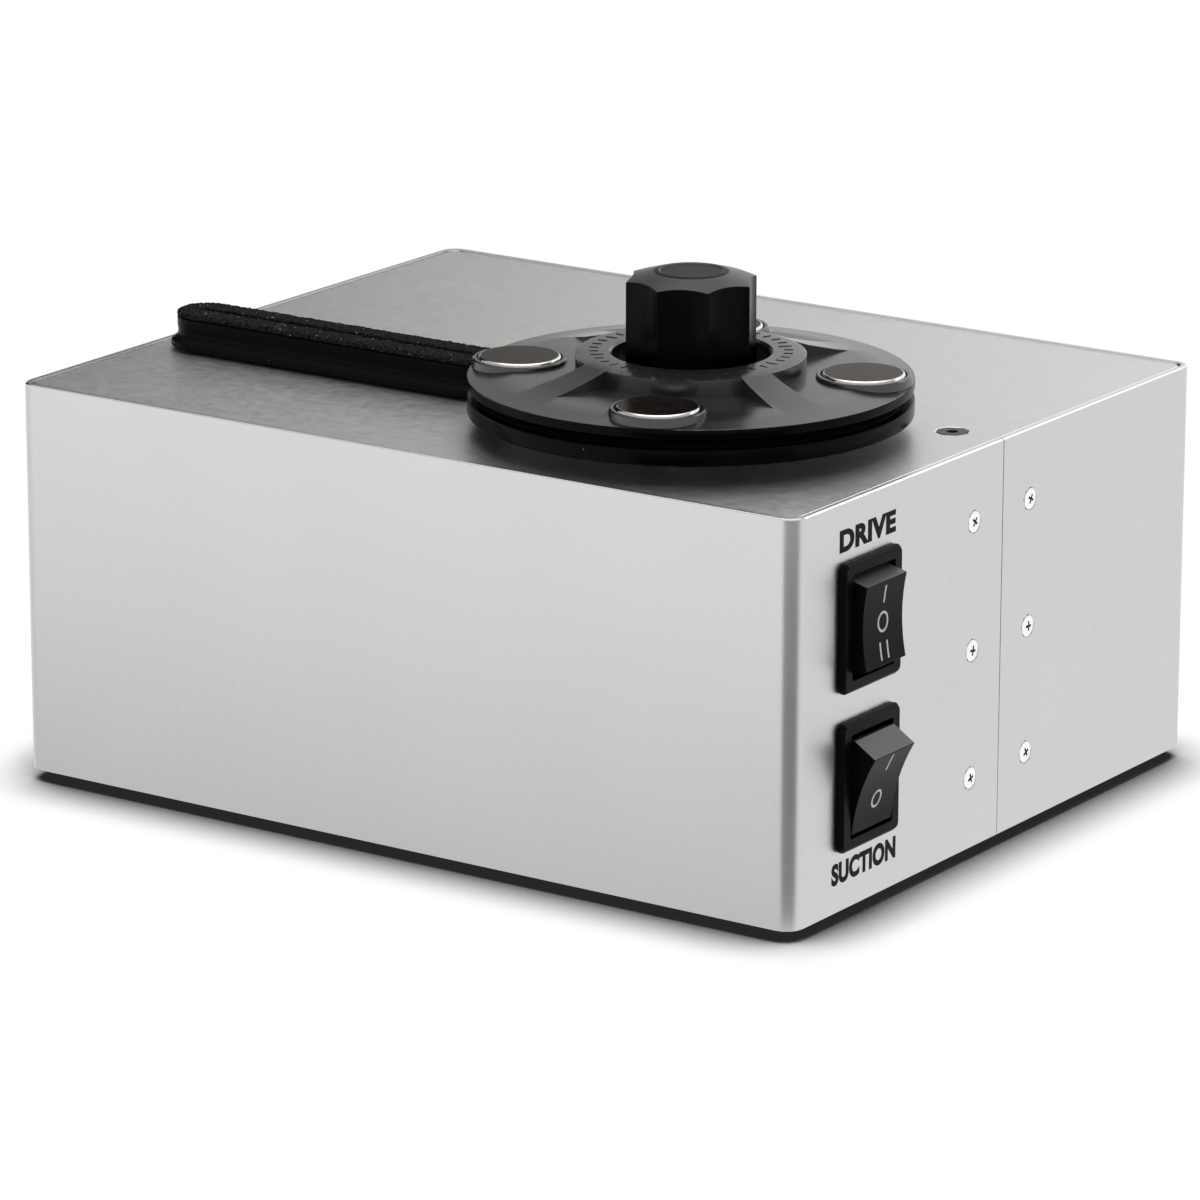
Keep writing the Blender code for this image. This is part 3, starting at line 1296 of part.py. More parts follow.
def pocket_outline(middle):
    """The recess between two ramps: a sector whose sides follow the ramps."""
    half_turn = math.pi / RAMP_COUNT
    outer = CLAMP_SHELF_RADIUS
    inner = CLAMP_RING_RADIUS - POCKET_UNDERCUT
    inner_angle = half_turn - math.asin(RAMP_INNER_WIDTH / 2 / inner)
    outer_angle = half_turn - math.asin(RAMP_OUTER_WIDTH / 2 / outer)
    outline = arc((0, 0), outer, middle - outer_angle, middle + outer_angle, POCKET_STEPS)
    outline += arc((0, 0), inner, middle + inner_angle, middle - inner_angle, POCKET_STEPS)
    return outline


def magnet_places():
    """The angle and plan position of each magnet."""
    places = []
    for index in range(RAMP_COUNT):
        angle = CLAMP_PHASE + 2 * math.pi * index / RAMP_COUNT
        places.append((angle, MAGNET_CIRCLE * math.cos(angle), MAGNET_CIRCLE * math.sin(angle)))
    return places


def make_clamp_disc(clamp):
    """The label clamp with four sunk pockets between its ramps and a collar round each magnet."""
    disc = make_piece("clamp_disc", turned(clamp_profile(), FINE_SEGMENTS), CHARCOAL, clamp)
    floor = CLAMP_TOP + CLAMP_POCKET_HEIGHT
    pockets = bmesh.new()
    collars = bmesh.new()
    seats = bmesh.new()
    collar = cylinder_profile(COLLAR_RADIUS, floor - CLAMP_RIM / 2, CLAMP_TOP + COLLAR_HEIGHT)
    seat_bottom = CLAMP_TOP + MAGNET_RISE - MAGNET_THICKNESS - SEAT_GAP
    seat = cylinder_profile(
        MAGNET_RADIUS + SEAT_GAP, seat_bottom, CLAMP_TOP + COLLAR_HEIGHT + CUT_OVERRUN
    )
    for angle, x, y in magnet_places():
        add_prism(pockets, pocket_outline(angle), floor, CLAMP_TOP + CLAMP_RING_HEIGHT)
        add_turned(collars, collar, ROUND_SEGMENTS, Matrix.Translation((x, y, 0)))
        add_turned(seats, seat, ROUND_SEGMENTS, Matrix.Translation((x, y, 0)))
    combine(disc, make_tool("clamp_pockets", pockets, clamp), "DIFFERENCE")
    combine(disc, make_tool("clamp_collars", collars, clamp), "UNION")
    combine(disc, make_tool("magnet_seats", seats, clamp), "DIFFERENCE")


def make_magnets(clamp):
    """Four plated discs set in the clamp's collars."""
    top = CLAMP_TOP + MAGNET_RISE
    profile = [
        (0, top),
        (MAGNET_RADIUS - MAGNET_EDGE, top),
        (MAGNET_RADIUS, top - MAGNET_EDGE),
        (MAGNET_RADIUS, top - MAGNET_THICKNESS),
        (0, top - MAGNET_THICKNESS),
    ]
    for index, (_, x, y) in enumerate(magnet_places()):
        make_piece(f"magnet_{index + 1}", turned(profile), CHROME, clamp, (x, y, 0))


def make_clamp_seal(clamp):
    """The rubber ring that keeps fluid off the label."""
    bottom = CLAMP_UNDERSIDE - SEAL_PROUD
    profile = tube_profile(SEAL_RADIUS, SEAL_BORE, bottom, bottom + SEAL_THICKNESS)
    make_piece("clamp_seal", turned(profile, FINE_SEGMENTS), RUBBER, clamp)


def knob_outline():
    """Eight hollow flats between sharp corners."""
    outline = []
    for index in range(KNOB_FLATS):
        start = KNOB_PHASE + 2 * math.pi * index / KNOB_FLATS
        end = start + 2 * math.pi / KNOB_FLATS
        middle = (start + end) / 2
        for step in range(KNOB_FLAT_STEPS):
            share = step / KNOB_FLAT_STEPS
            sink = KNOB_HOLLOW * 4 * share * (1 - share)
            x = KNOB_RADIUS * (math.cos(start) * (1 - share) + math.cos(end) * share)
            y = KNOB_RADIUS * (math.sin(start) * (1 - share) + math.sin(end) * share)
            outline.append((x - sink * math.cos(middle), y - sink * math.sin(middle)))
    return outline


def make_clamp_knob(knob):
    """The knob: an eight-sided bar with hollow flats, turned to a shallow cone on top."""
    bottom = CLAMP_UNDERSIDE + CLAMP_FLOOR + RUNNING_GAP
    bm = prism(knob_outline(), bottom, KNOB_TOP + CUT_OVERRUN)
    piece = make_piece("clamp_knob", bm, GLOSS_BLACK, knob)
    slope = KNOB_DROP / (KNOB_RADIUS - KNOB_DISC_RADIUS)
    recess = KNOB_TOP - KNOB_DISC_RECESS
    envelope = [
        (0, recess),
        (KNOB_DISC_RADIUS - KNOB_DISC_RECESS, recess),
        (KNOB_DISC_RADIUS, KNOB_TOP),
        (KNOB_RADIUS + CUT_OVERRUN, KNOB_TOP - KNOB_DROP - slope * CUT_OVERRUN),
        (KNOB_RADIUS + CUT_OVERRUN, bottom - CUT_OVERRUN),
        (0, bottom - CUT_OVERRUN),
    ]
    tool = make_tool("knob_envelope", turned(envelope, FINE_SEGMENTS), knob)
    combine(piece, tool, "INTERSECT")
    bore = cylinder_profile(
        INSERT_RADIUS + SEAT_GAP, bottom - CUT_OVERRUN, INSERT_TOP + SEAT_GAP
    )
    combine(piece, make_tool("knob_bore", turned(bore), knob), "DIFFERENCE")


def make_knob_insert(knob):
    """The threaded insert in the knob, whose flange holds the clamp disc captive."""
    bore = STUD_RADIUS + RUNNING_GAP
    flange_bottom = PLATTER_TOP + SEAT_GAP
    flange_top = CLAMP_UNDERSIDE - RUNNING_GAP
    profile = [
        (bore, INSERT_TOP),
        (INSERT_RADIUS, INSERT_TOP),
        (INSERT_RADIUS, flange_top),
        (INSERT_FLANGE_RADIUS, flange_top),
        (INSERT_FLANGE_RADIUS, flange_bottom),
        (bore, flange_bottom),
    ]
    make_piece("knob_insert", turned(profile), BRASS, knob)


def rocker_outline():
    """The rocker from the side: hollow face, drafted ends, heels and keel about its pivot."""
    face = ROCKER_PROUD + PIVOT_DEPTH
    half = ROCKER_HEIGHT / 2
    waist = half + face * math.tan(ROCKER_DRAFT)
    heel = waist * ROCKER_HEEL_SHARE
    outline = []
    for step in range(ROCKER_HOLLOW_STEPS + 1):
        share = step / ROCKER_HOLLOW_STEPS
        sink = ROCKER_HOLLOW * 4 * share * (1 - share)
        outline.append((face - sink, half - ROCKER_HEIGHT * share))
    outline += [(0, -waist), (-ROCKER_BELOW, -heel), (-ROCKER_KEEL_DEPTH, -ROCKER_KEEL_HALF)]
    outline += [(-ROCKER_KEEL_DEPTH, ROCKER_KEEL_HALF), (-ROCKER_BELOW, heel), (0, waist)]
    return outline


def make_rocker(name, pivot, tilt):
    """A rocker on its trunnions, tilted about its pivot at rest."""
    half = ROCKER_WIDTH / 2
    bm = prism(rocker_outline(), -half, half, along_y)
    rocker = make_piece(name, bm, SATIN_BLACK, pivot, turn=(0, tilt, 0))
    trunnions = bmesh.new()
    reach = half + TRUNNION_REACH
    add_turned(
        trunnions, cylinder_profile(TRUNNION_RADIUS, -reach, reach), SMALL_SEGMENTS, facing_y((0, 0, 0))
    )
    tool = make_tool(f"{name}_trunnions", trunnions, pivot, turn=(0, tilt, 0))
    combine(rocker, tool, "UNION")


def make_switch_body(name, place, rows):
    """A switch housing: bezel, well for the rocker, pivot holes and blade terminals."""
    body = rounded_rectangle(SWITCH_BODY_WIDTH, SWITCH_BODY_HEIGHT, SWITCH_BODY_CORNER)
    bezel = rounded_rectangle(BEZEL_WIDTH, BEZEL_HEIGHT, BEZEL_CORNER)
    inset = 2 * BEZEL_CHAMFER
    face = rounded_rectangle(
        BEZEL_WIDTH - inset, BEZEL_HEIGHT - inset, BEZEL_CORNER - BEZEL_CHAMFER
    )
    sections = [
        (body, -SWITCH_BODY_DEPTH),
        (body, SEAT_GAP),
        (bezel, SEAT_GAP),
        (bezel, BEZEL_PROUD - BEZEL_CHAMFER),
        (face, BEZEL_PROUD),
    ]
    switch = make_piece(name, loft(sections, along_x), SATIN_BLACK, place)
    terminals = bmesh.new()
    half_sheet = TERMINAL_SHEET / 2
    half_width = TERMINAL_WIDTH / 2
    root = -SWITCH_BODY_DEPTH
    for row in rows:
        for column in (-TERMINAL_COLUMN, TERMINAL_COLUMN):
            height = row * TERMINAL_PITCH
            blade = [
                (column - half_sheet, height - half_width),
                (column + half_sheet, height - half_width),
                (column + half_sheet, height + half_width),
                (column - half_sheet, height + half_width),
            ]
            add_prism(terminals, blade, root - TERMINAL_LENGTH, root + TERMINAL_SHEET, along_x)
    combine(switch, make_tool(f"{name}_terminals", terminals, place), "UNION")
    swing = math.hypot(ROCKER_PROUD + PIVOT_DEPTH, ROCKER_HEIGHT / 2) + ROCKER_SWING_GAP
    well_width = ROCKER_WIDTH + 2 * ROCKER_SIDE_GAP
    well = rounded_rectangle(well_width, 2 * swing, ROCKER_SIDE_GAP)
    bm = prism(well, BEZEL_PROUD - WELL_DEPTH, BEZEL_PROUD + CUT_OVERRUN, along_x)
    combine(switch, make_tool(f"{name}_well", bm, place), "DIFFERENCE")
    holes = bmesh.new()
    reach = ROCKER_WIDTH / 2 + TRUNNION_REACH + SEAT_GAP
    pivot = facing_y((BEZEL_PROUD - PIVOT_DEPTH, 0, 0))
    profile = cylinder_profile(TRUNNION_RADIUS + RUNNING_GAP, -reach, reach)
    add_turned(holes, profile, SMALL_SEGMENTS, pivot)
    combine(switch, make_tool(f"{name}_pivot_holes", holes, place), "DIFFERENCE")


def make_mains_inlet(place):
    """The appliance inlet: flange, body, mouth with two cut corners, and three flat pins."""
    body = rounded_rectangle(INLET_BODY_WIDTH, INLET_BODY_HEIGHT, INLET_BODY_CORNER)
    flange = rounded_rectangle(INLET_FLANGE_WIDTH, INLET_FLANGE_HEIGHT, INLET_FLANGE_CORNER)
    face = SEAT_GAP + INLET_FLANGE
    sections = [(body, -INLET_BODY_DEPTH), (body, SEAT_GAP), (flange, SEAT_GAP), (flange, face)]
    inlet = make_piece("mains_inlet", loft(sections, along_y), SATIN_BLACK, place)
    half_width = INLET_MOUTH_WIDTH / 2
    half_height = INLET_MOUTH_HEIGHT / 2
    shoulder = half_height - INLET_MOUTH_CHAMFER
    roof = half_width - INLET_MOUTH_CHAMFER
    mouth = [
        (-half_width, -half_height),
        (half_width, -half_height),
        (half_width, shoulder),
        (roof, half_height),
        (-roof, half_height),
        (-half_width, shoulder),
    ]
    floor = face - INLET_MOUTH_DEPTH
    bm = prism(mouth, floor, face + CUT_OVERRUN, along_y)
    combine(inlet, make_tool("inlet_mouth", bm, place), "DIFFERENCE")
    pins = bmesh.new()
    half_pin = INLET_PIN_WIDTH / 2
    half_blade = INLET_PIN_HEIGHT / 2
    root = (floor - INLET_BODY_DEPTH) / 2
    for column, rise in ((-1, 0), (0, 1), (1, 0)):
        x = column * INLET_PIN_PITCH
        z = rise * INLET_PIN_RISE
        pin = [
            (x - half_pin, z - half_blade),
            (x + half_pin, z - half_blade),
            (x + half_pin, z + half_blade),
            (x - half_pin, z + half_blade),
        ]
        add_prism(pins, pin, root, floor + INLET_PIN_LENGTH, along_y)
    combine(inlet, make_tool("inlet_pins", pins, place), "UNION")


def board_corners():
    """Where the posts carry the circuit board."""
    x = BOARD_WIDTH / 2 - POST_INSET
    y = BOARD_DEPTH / 2 - POST_INSET
    return [(BOARD_X + u, BOARD_Y + v) for u, v in ((-x, -y), (x, -y), (x, y), (-x, y))]


def heat_sink_outline():
    """A comb of fins on one web, in plan."""
    web = HEAT_SINK_WIDTH / (2 * HEAT_SINK_FINS - 1)
    left = -HEAT_SINK_WIDTH / 2
    outline = [(left, 0), (-left, 0)]
    for index in reversed(range(HEAT_SINK_FINS)):
        fin_left = left + 2 * index * web
        outline += [(fin_left + web, HEAT_SINK_DEPTH), (fin_left, HEAT_SINK_DEPTH)]
        if index:
            outline += [(fin_left, web), (fin_left - web, web)]
    return outline


def make_circuit_board(place):
    """The power board with two capacitors and a finned heat sink."""
    outline = rounded_rectangle(BOARD_WIDTH, BOARD_DEPTH, BOARD_CORNER)
    board = make_piece("circuit_board", prism(outline, 0, BOARD_SHEET), BOARD_GREEN, place)
    bm = bmesh.new()
    inside = BOARD_SHEET / 2
    capacitor = cylinder_profile(CAPACITOR_RADIUS, inside, BOARD_SHEET + CAPACITOR_HEIGHT)
    rear = BOARD_DEPTH / 4
    for x in (0, CAPACITOR_SPACING):
        add_turned(bm, capacitor, ROUND_SEGMENTS, Matrix.Translation((x, rear, 0)))
    sink = [(CAPACITOR_SPACING / 2 + u, v - BOARD_DEPTH / 3) for u, v in heat_sink_outline()]
    add_prism(bm, sink, inside, BOARD_SHEET + HEAT_SINK_HEIGHT)
    combine(board, make_tool("board_components", bm, place), "UNION")


def make_transformer(place):
    """A laminated core with its bobbin through it."""
    bottom = BOARD_SHEET + SEAT_GAP
    core = rounded_rectangle(TRANSFORMER_WIDTH, TRANSFORMER_DEPTH, BOARD_CORNER / 2)
    x = -BOARD_WIDTH / 4
    bm = prism(core, bottom, bottom + TRANSFORMER_HEIGHT)
    transformer = make_piece("transformer", bm, IRON, place, (x, 0, 0))
    lift = (TRANSFORMER_HEIGHT - BOBBIN_HEIGHT) / 2
    bobbin = rounded_rectangle(BOBBIN_WIDTH, BOBBIN_DEPTH, BOARD_CORNER)
    bm = prism(bobbin, bottom + lift, bottom + lift + BOBBIN_HEIGHT)
    combine(transformer, make_tool("transformer_bobbin", bm, place, (x, 0, 0)), "UNION")


def smooth_route(route, steps):
    """Points on a smooth curve through the route's own points."""
    padded = [route[0], *route, route[-1]]
    points = []
    for index in range(len(route) - 1):
        before, start, end, after = padded[index : index + 4]
        for step in range(steps):
            share = step / steps
            point = []
            for a, b, c, d in zip(before, start, end, after):
                bend = (2 * a - 5 * b + 4 * c - d) * share + 3 * b - a - 3 * c + d
                point.append(b + share / 2 * (c - a + share * bend))
            points.append(point)
    points.append(route[-1])
    return points


def make_wiring_loom(case):
    """The sleeved wires from the mains inlet to the vacuum switch."""
    start = (INLET_X, CASE_DEPTH / 2 - INLET_BODY_DEPTH - SEAT_GAP, INLET_HEIGHT)
    end = (CASE_WIDTH / 2 - SWITCH_BODY_DEPTH - SEAT_GAP, SWITCH_Y, VACUUM_SWITCH_HEIGHT)
    points = smooth_route([start, *LOOM_ROUTE, end], LOOM_STEPS)
    curve = bpy.data.curves.new("wiring_loom", "CURVE")
    curve.dimensions = "3D"
    spline = curve.splines.new("POLY")
    spline.points.add(len(points) - 1)
    for spline_point, point in zip(spline.points, points):
        spline_point.co = (*point, 1)
    curve.bevel_depth = LOOM_RADIUS
    curve.bevel_resolution = 2
    curve.use_fill_caps = True
    loom = bpy.data.objects.new("wiring_loom", curve)
    bpy.context.scene.collection.objects.link(loom)
    curve.materials.append(finish_material("wiring_loom", RUBBER))
    loom.parent = case


def make_case(case):
    """Shells, deck, floor, brackets, feet and their screws."""
    side_holes = make_side_screw_holes(case)
    deck_holes = make_deck_screw_holes(case)
    make_front_shell(case, side_holes)
    make_rear_shell(case, side_holes)
    make_deck_plate(case, deck_holes)
    make_base_plate(case)
    make_feet(case)
    make_side_brackets(case, side_holes, deck_holes)
    make_side_screws(case)
    make_deck_screws(case)


def make_suction_side(case):
    """Suction bar, tank, hose, fan and motor."""
    make_nozzle(make_empty("suction_bar_line", (0, SPINDLE_Y, DECK_TOP), case))
    make_waste_tank(case)
    make_tank_lid(case)
    mouth = (-CASE_WIDTH / 2 - DRAIN_REACH, DRAIN_Y, DRAIN_HEIGHT)
    make_drain_plug(make_empty("drain_mouth", mouth, case, (0, -math.pi / 2, 0)))
    make_suction_hose(case)
    place = (FAN_X, FAN_FRONT, FAN_HEIGHT)
    fan = make_empty("fan_axis", place, case, (-math.pi / 2, 0, 0))
    make_fan_cover(fan)
    make_fan_housing(fan)
    make_impeller(fan)
    make_vacuum_motor(fan)
    make_motor_saddle(case)


def make_turntable(case):
    """Gear motor, spindle, platter, clamp and knob."""
    drive = make_empty("gear_motor_place", (SPINDLE_X, SPINDLE_Y, 0), case)
    make_motor_bracket(drive)
    make_gear_motor(drive)
    make_spindle_bush(case)
    turntable = make_empty("spindle_axis", (SPINDLE_X, SPINDLE_Y, DECK_TOP), case)
    make_drive_line(turntable)
    make_platter(turntable)
    clamp = make_empty("clamp_axis", (0, 0, 0), turntable)
    make_clamp_disc(clamp)
    make_magnets(clamp)
    make_clamp_seal(clamp)
    knob = make_empty("knob_axis", (0, 0, 0), clamp)
    make_clamp_knob(knob)
    make_knob_insert(knob)


def make_electrics(case):
    """Switches, mains inlet, circuit board, transformer and loom."""
    switches = (
        ("drive", DRIVE_SWITCH_HEIGHT, 0, (-1, 0, 1)),
        ("vacuum", VACUUM_SWITCH_HEIGHT, VACUUM_TILT, (-1, 1)),
    )
    for name, height, tilt, rows in switches:
        place = make_empty(f"{name}_switch_place", (CASE_WIDTH / 2, SWITCH_Y, height), case)
        make_switch_body(f"{name}_switch_body", place, rows)
        pivot = make_empty(f"{name}_pivot", (BEZEL_PROUD - PIVOT_DEPTH, 0, 0), place)
        make_rocker(f"{name}_rocker", pivot, tilt)
    make_mains_inlet(make_empty("inlet_place", (INLET_X, CASE_DEPTH / 2, INLET_HEIGHT), case))
    board = make_empty("board_place", (BOARD_X, BOARD_Y, BOARD_HEIGHT), case)
    make_circuit_board(board)
    make_transformer(board)
    make_wiring_loom(case)


def main():
    """Build the whole machine round the middle of its case."""
    clear_scene()
    case = make_empty("case_middle", (CASE_X, CASE_Y, FOOT_HEIGHT))
    make_case(case)
    make_suction_side(case)
    make_turntable(case)
    make_electrics(case)


main()
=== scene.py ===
import json
import math

import bmesh
import bpy
from bpy.props import FloatProperty, FloatVectorProperty, IntProperty, PointerProperty
from bpy.props import StringProperty
from mathutils import Matrix, Vector


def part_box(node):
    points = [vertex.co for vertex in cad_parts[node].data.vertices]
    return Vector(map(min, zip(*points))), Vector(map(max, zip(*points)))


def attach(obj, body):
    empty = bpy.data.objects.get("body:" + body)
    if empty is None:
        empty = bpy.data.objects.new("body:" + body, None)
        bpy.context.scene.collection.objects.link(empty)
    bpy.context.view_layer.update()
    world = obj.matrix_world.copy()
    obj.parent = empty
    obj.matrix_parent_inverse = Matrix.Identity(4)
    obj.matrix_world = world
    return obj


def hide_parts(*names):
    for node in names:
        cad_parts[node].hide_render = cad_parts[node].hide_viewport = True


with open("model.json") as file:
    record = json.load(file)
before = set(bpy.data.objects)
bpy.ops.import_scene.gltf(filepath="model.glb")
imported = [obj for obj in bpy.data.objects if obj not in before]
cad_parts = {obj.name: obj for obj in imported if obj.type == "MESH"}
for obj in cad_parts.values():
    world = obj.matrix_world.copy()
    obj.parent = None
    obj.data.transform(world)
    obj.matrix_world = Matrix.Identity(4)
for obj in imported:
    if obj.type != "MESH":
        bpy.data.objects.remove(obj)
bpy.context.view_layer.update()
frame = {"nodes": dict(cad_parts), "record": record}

bl_info = {
    "name": "Record cleaning machine",
    "version": (1, 0, 0),
    "blender": (4, 5, 0),
    "location": "View3D > Sidebar > Record cleaner",
    "description": "Finishes and fine pieces of a record cleaning machine on its CAD frame",
    "category": "Object",
}

FULL_TURN = 2 * math.pi
HALF_TURN = math.pi
QUARTER_TURN = math.pi / 2

# Marks on the rockers are drawn this far in front of the case's side
MARK_DISTANCE = 0.03

# A face counts as level when the upright part of its normal is over this
LEVEL = 0.98

# Room between turned pieces that fit together
CLEARANCE = 0.0003

# The photograph's camera: millimetres, metres and degrees
CAMERA_LENS = 198.74
CAMERA_PLACE = (0.89145, -1.30765, 0.4939)
CAMERA_HEADING = 34.38
CAMERA_TILT = 15.91
CAMERA_ROLL = 0.11


def corners(node):
    """The lowest and the highest corner of a CAD node's box."""
    return [Vector(corner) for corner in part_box(node)]


def middle_of(node):
    """The middle of a CAD node's box."""
    low, high = corners(node)
    return (low + high) / 2


# Places shared by the pieces, read from the frame
DECK_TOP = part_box("deck_plate")[1][2]
DISC_LOW, DISC_HIGH = corners("clamp_disc")
KNOB_LOW, KNOB_HIGH = corners("clamp_knob")
PLATTER_LOW, PLATTER_HIGH = corners("platter")
BAR_LOW, BAR_HIGH = corners("nozzle_body")
PAD_LOW, PAD_HIGH = corners("velvet_pad")
CASE_LOW, CASE_HIGH = corners("front_shell")
SPINDLE = middle_of("platter")
SPINDLE_FOOT = (SPINDLE.x, SPINDLE.y, 0)
MAGNETS = [f"magnet_{index}" for index in range(1, 5)]


# Sizes and colours that a user may change

def length(name, description, default):
    """A length that a user may change."""
    return FloatProperty(name=name, description=description, default=default, unit="LENGTH")


def fraction(name, description, default):
    """A share from 0 to 1 that a user may change."""
    return FloatProperty(name=name, description=description, default=default, min=0, max=1)


def colour_of(name, description, default):
    """A colour that a user may change."""
    return FloatVectorProperty(
        name=name, description=description, subtype="COLOR", size=3, min=0, max=1, default=default,
    )


class MetalSettings(bpy.types.PropertyGroup):
    colour: colour_of("Aluminium", "Colour of the anodised sheet", (0.63, 0.63, 0.62))
    roughness: fraction("Roughness", "How dull the anodised sheet is", 0.36)
    deck_roughness: fraction("Deck roughness", "How dull the top plate is", 0.42)
    grain_length: length("Grain length", "Length of one brush mark", 0.0022)
    grain_width: length("Grain width", "Width of one brush mark", 0.00035)
    edge: length("Edge", "Broken edge of the folded sheet", 0.00012)


class ScrewSettings(bpy.types.PropertyGroup):
    rim: length("Rim", "Bright flat band round the head", 0.00035)
    crown: length("Crown", "Height of the head's crown", 0.00022)
    cross: length("Cross", "Length of the cross recess", 0.0028)
    wing: length("Wing", "Width of one wing of the cross", 0.00062)
    cross_depth: length("Cross depth", "Depth of the cross recess", 0.0011)
    washer_gap: length("Gap", "Shadow gap round the head", 0.00018)


class PadSettings(bpy.types.PropertyGroup):
    voxel: length("Voxel", "Mesh size of the pile", 0.00030)
    pile: length("Pile", "Height of the uneven pile", 0.00065)
    tuft: length("Tuft", "Size of one tuft of the pile", 0.0009)
    edge: length("Edge", "Rounding of the pad's rim", 0.0006)


class ClampSettings(bpy.types.PropertyGroup):
    steps: IntProperty(
        name="Steps", description="Steps round the turned pieces", default=144, min=24,
    )
    edge: length("Edge", "Rounding of the moulded edges", 0.0003)
    magnet_edge: length("Magnet edge", "Rounding of the magnets", 0.0009)
    mark_height: length("Mark height", "Height of the raised marks", 0.00018)


class SwitchSettings(bpy.types.PropertyGroup):
    stroke: length("Stroke", "Width of the printed marks", 0.0006)
    print_height: length("Print", "Thickness of the printed marks", 0.00004)
    edge: length("Edge", "Rounding of rockers and bezels", 0.00028)
    upper_word: StringProperty(
        name="Upper word", description="Word over the upper switch", default="DRIVE",
    )
    lower_word: StringProperty(
        name="Lower word", description="Word under the lower switch", default="SUCTION",
    )
    word_height: length("Word height", "Height of the capitals", 0.0054)
    upper_width: length("Upper width", "Width of the upper word", 0.0242)
    lower_width: length("Lower width", "Width of the lower word", 0.0279)


class StageSettings(bpy.types.PropertyGroup):
    floor_size: length("Floor", "Side of the floor", 12)
    floor_colour: colour_of("Floor colour", "Colour of the floor", (0.85, 0.85, 0.85))
    overhead: FloatProperty(
        name="Overhead", description="Power of the overhead lamp in watts", default=3.2,
    )
    # The shadow under the case is painted from ambient occlusion; this is how far it reaches
    painted_shadow_reach: length("Shadow reach", "Width of the shadow under the case", 0.022)


class CleanerSettings(bpy.types.PropertyGroup):
    metal: PointerProperty(type=MetalSettings)
    screws: PointerProperty(type=ScrewSettings)
    pad: PointerProperty(type=PadSettings)
    clamp: PointerProperty(type=ClampSettings)
    switches: PointerProperty(type=SwitchSettings)
    stage: PointerProperty(type=StageSettings)


def settings():
    """The scene's own settings for this machine."""
    return bpy.context.scene.record_cleaner


# Selecting and shaping

def deselect_all():
    """Leaves object mode with nothing selected."""
    if bpy.context.object and bpy.context.object.mode != "OBJECT":
        bpy.ops.object.mode_set(mode="OBJECT")
    bpy.ops.object.select_all(action="DESELECT")


def make_active(piece):
    """Selects one object alone."""
    deselect_all()
    piece.hide_set(False)
    piece.select_set(True)
    bpy.context.view_layer.objects.active = piece


def edit(piece):
    """Opens one object's mesh."""
    make_active(piece)
    bpy.ops.object.mode_set(mode="EDIT")


def leave():
    """Closes the open mesh."""
    bpy.ops.object.mode_set(mode="OBJECT")


def pick(piece, kind, test):
    """Selects only the vertices, edges or faces of the open mesh that pass a test."""
    bpy.ops.mesh.select_mode(type=kind)
    bpy.ops.mesh.select_all(action="DESELECT")
    bm = bmesh.from_edit_mesh(piece.data)
    parts = {"VERT": bm.verts, "EDGE": bm.edges, "FACE": bm.faces}[kind]
    for part in parts:
        part.select_set(test(part))
    bm.select_flush_mode()
    bmesh.update_edit_mesh(piece.data)


def select_everything():
    """Selects all of the open mesh."""
    bpy.ops.mesh.select_all(action="SELECT")


def leave_outward():
    """Turns all faces of the open mesh outward and closes it."""
    select_everything()
    bpy.ops.mesh.normals_make_consistent(inside=False)
    leave()


def leave_merged_outward(distance=1e-6):
    """Merges the open mesh's doubles, turns its faces outward and closes it."""
    select_everything()
    bpy.ops.mesh.remove_doubles(threshold=distance)
    leave_outward()


def start_at_point(name, point):
    """A new object whose open mesh is one selected vertex."""
    deselect_all()
    bpy.ops.mesh.primitive_plane_add(size=0.001, location=point)
    piece = bpy.context.object
    piece.name = name
    piece.data.name = name
    bpy.ops.object.transform_apply(location=True, rotation=True, scale=True)
    bpy.ops.object.mode_set(mode="EDIT")
    bpy.ops.mesh.select_mode(type="VERT")
    select_everything()
    bpy.ops.mesh.merge(type="CENTER")
    return piece


def draw_line(name, points):
    """A chain of edges through the points, drawn by extruding one vertex after another."""
    piece = start_at_point(name, points[0])
    for last, point in zip(points, points[1:]):
        step = Vector(point) - Vector(last)
        bpy.ops.mesh.extrude_vertices_move(TRANSFORM_OT_translate={"value": step})
    return piece


def draw_face(name, points):
    """A flat face with the given outline."""
    piece = draw_line(name, points)
    select_everything()
    bpy.ops.mesh.edge_face_add()
    return piece


def draw_block(name, points, rise):
    """A block with the given flat outline, as long as the rise."""
    piece = draw_face(name, points)
    bpy.ops.mesh.extrude_region_move(TRANSFORM_OT_translate={"value": rise})
    leave_outward()
    return piece


def draw_turned(name, section, centre, steps):
    """A round piece: its half section is drawn and spun about an upright axis."""
    centre = Vector(centre)
    points = [centre + Vector((radius, 0, height)) for radius, height in section]
    piece = draw_line(name, points + points[:1])
    select_everything()
    bpy.ops.mesh.spin(steps=steps, angle=FULL_TURN, center=centre, axis=(0, 0, 1))
    leave_merged_outward()
    return piece


def apply_modifier(piece, kind, **values):
    """Adds one modifier with its values and applies it."""
    make_active(piece)
    modifier = piece.modifiers.new(kind.lower(), kind)
    for key, value in values.items():
        setattr(modifier, key, value)
    bpy.ops.object.modifier_apply(modifier=modifier.name)


def combine(piece, tool, operation):
    """Cuts, joins or trims a piece with a tool, and removes the tool."""
    apply_modifier(piece, "BOOLEAN", operation=operation, object=tool, solver="EXACT")
    bpy.data.objects.remove(tool)


def round_edges(piece, width, sharp=math.radians(28), segments=3):
    """Rounds the sharp edges and shades the rest smooth."""
    apply_modifier(
        piece, "BEVEL", width=width, segments=segments, limit_method="ANGLE",
        angle_limit=sharp, miter_outer="MITER_ARC", harden_normals=False,
    )
    shade(piece)


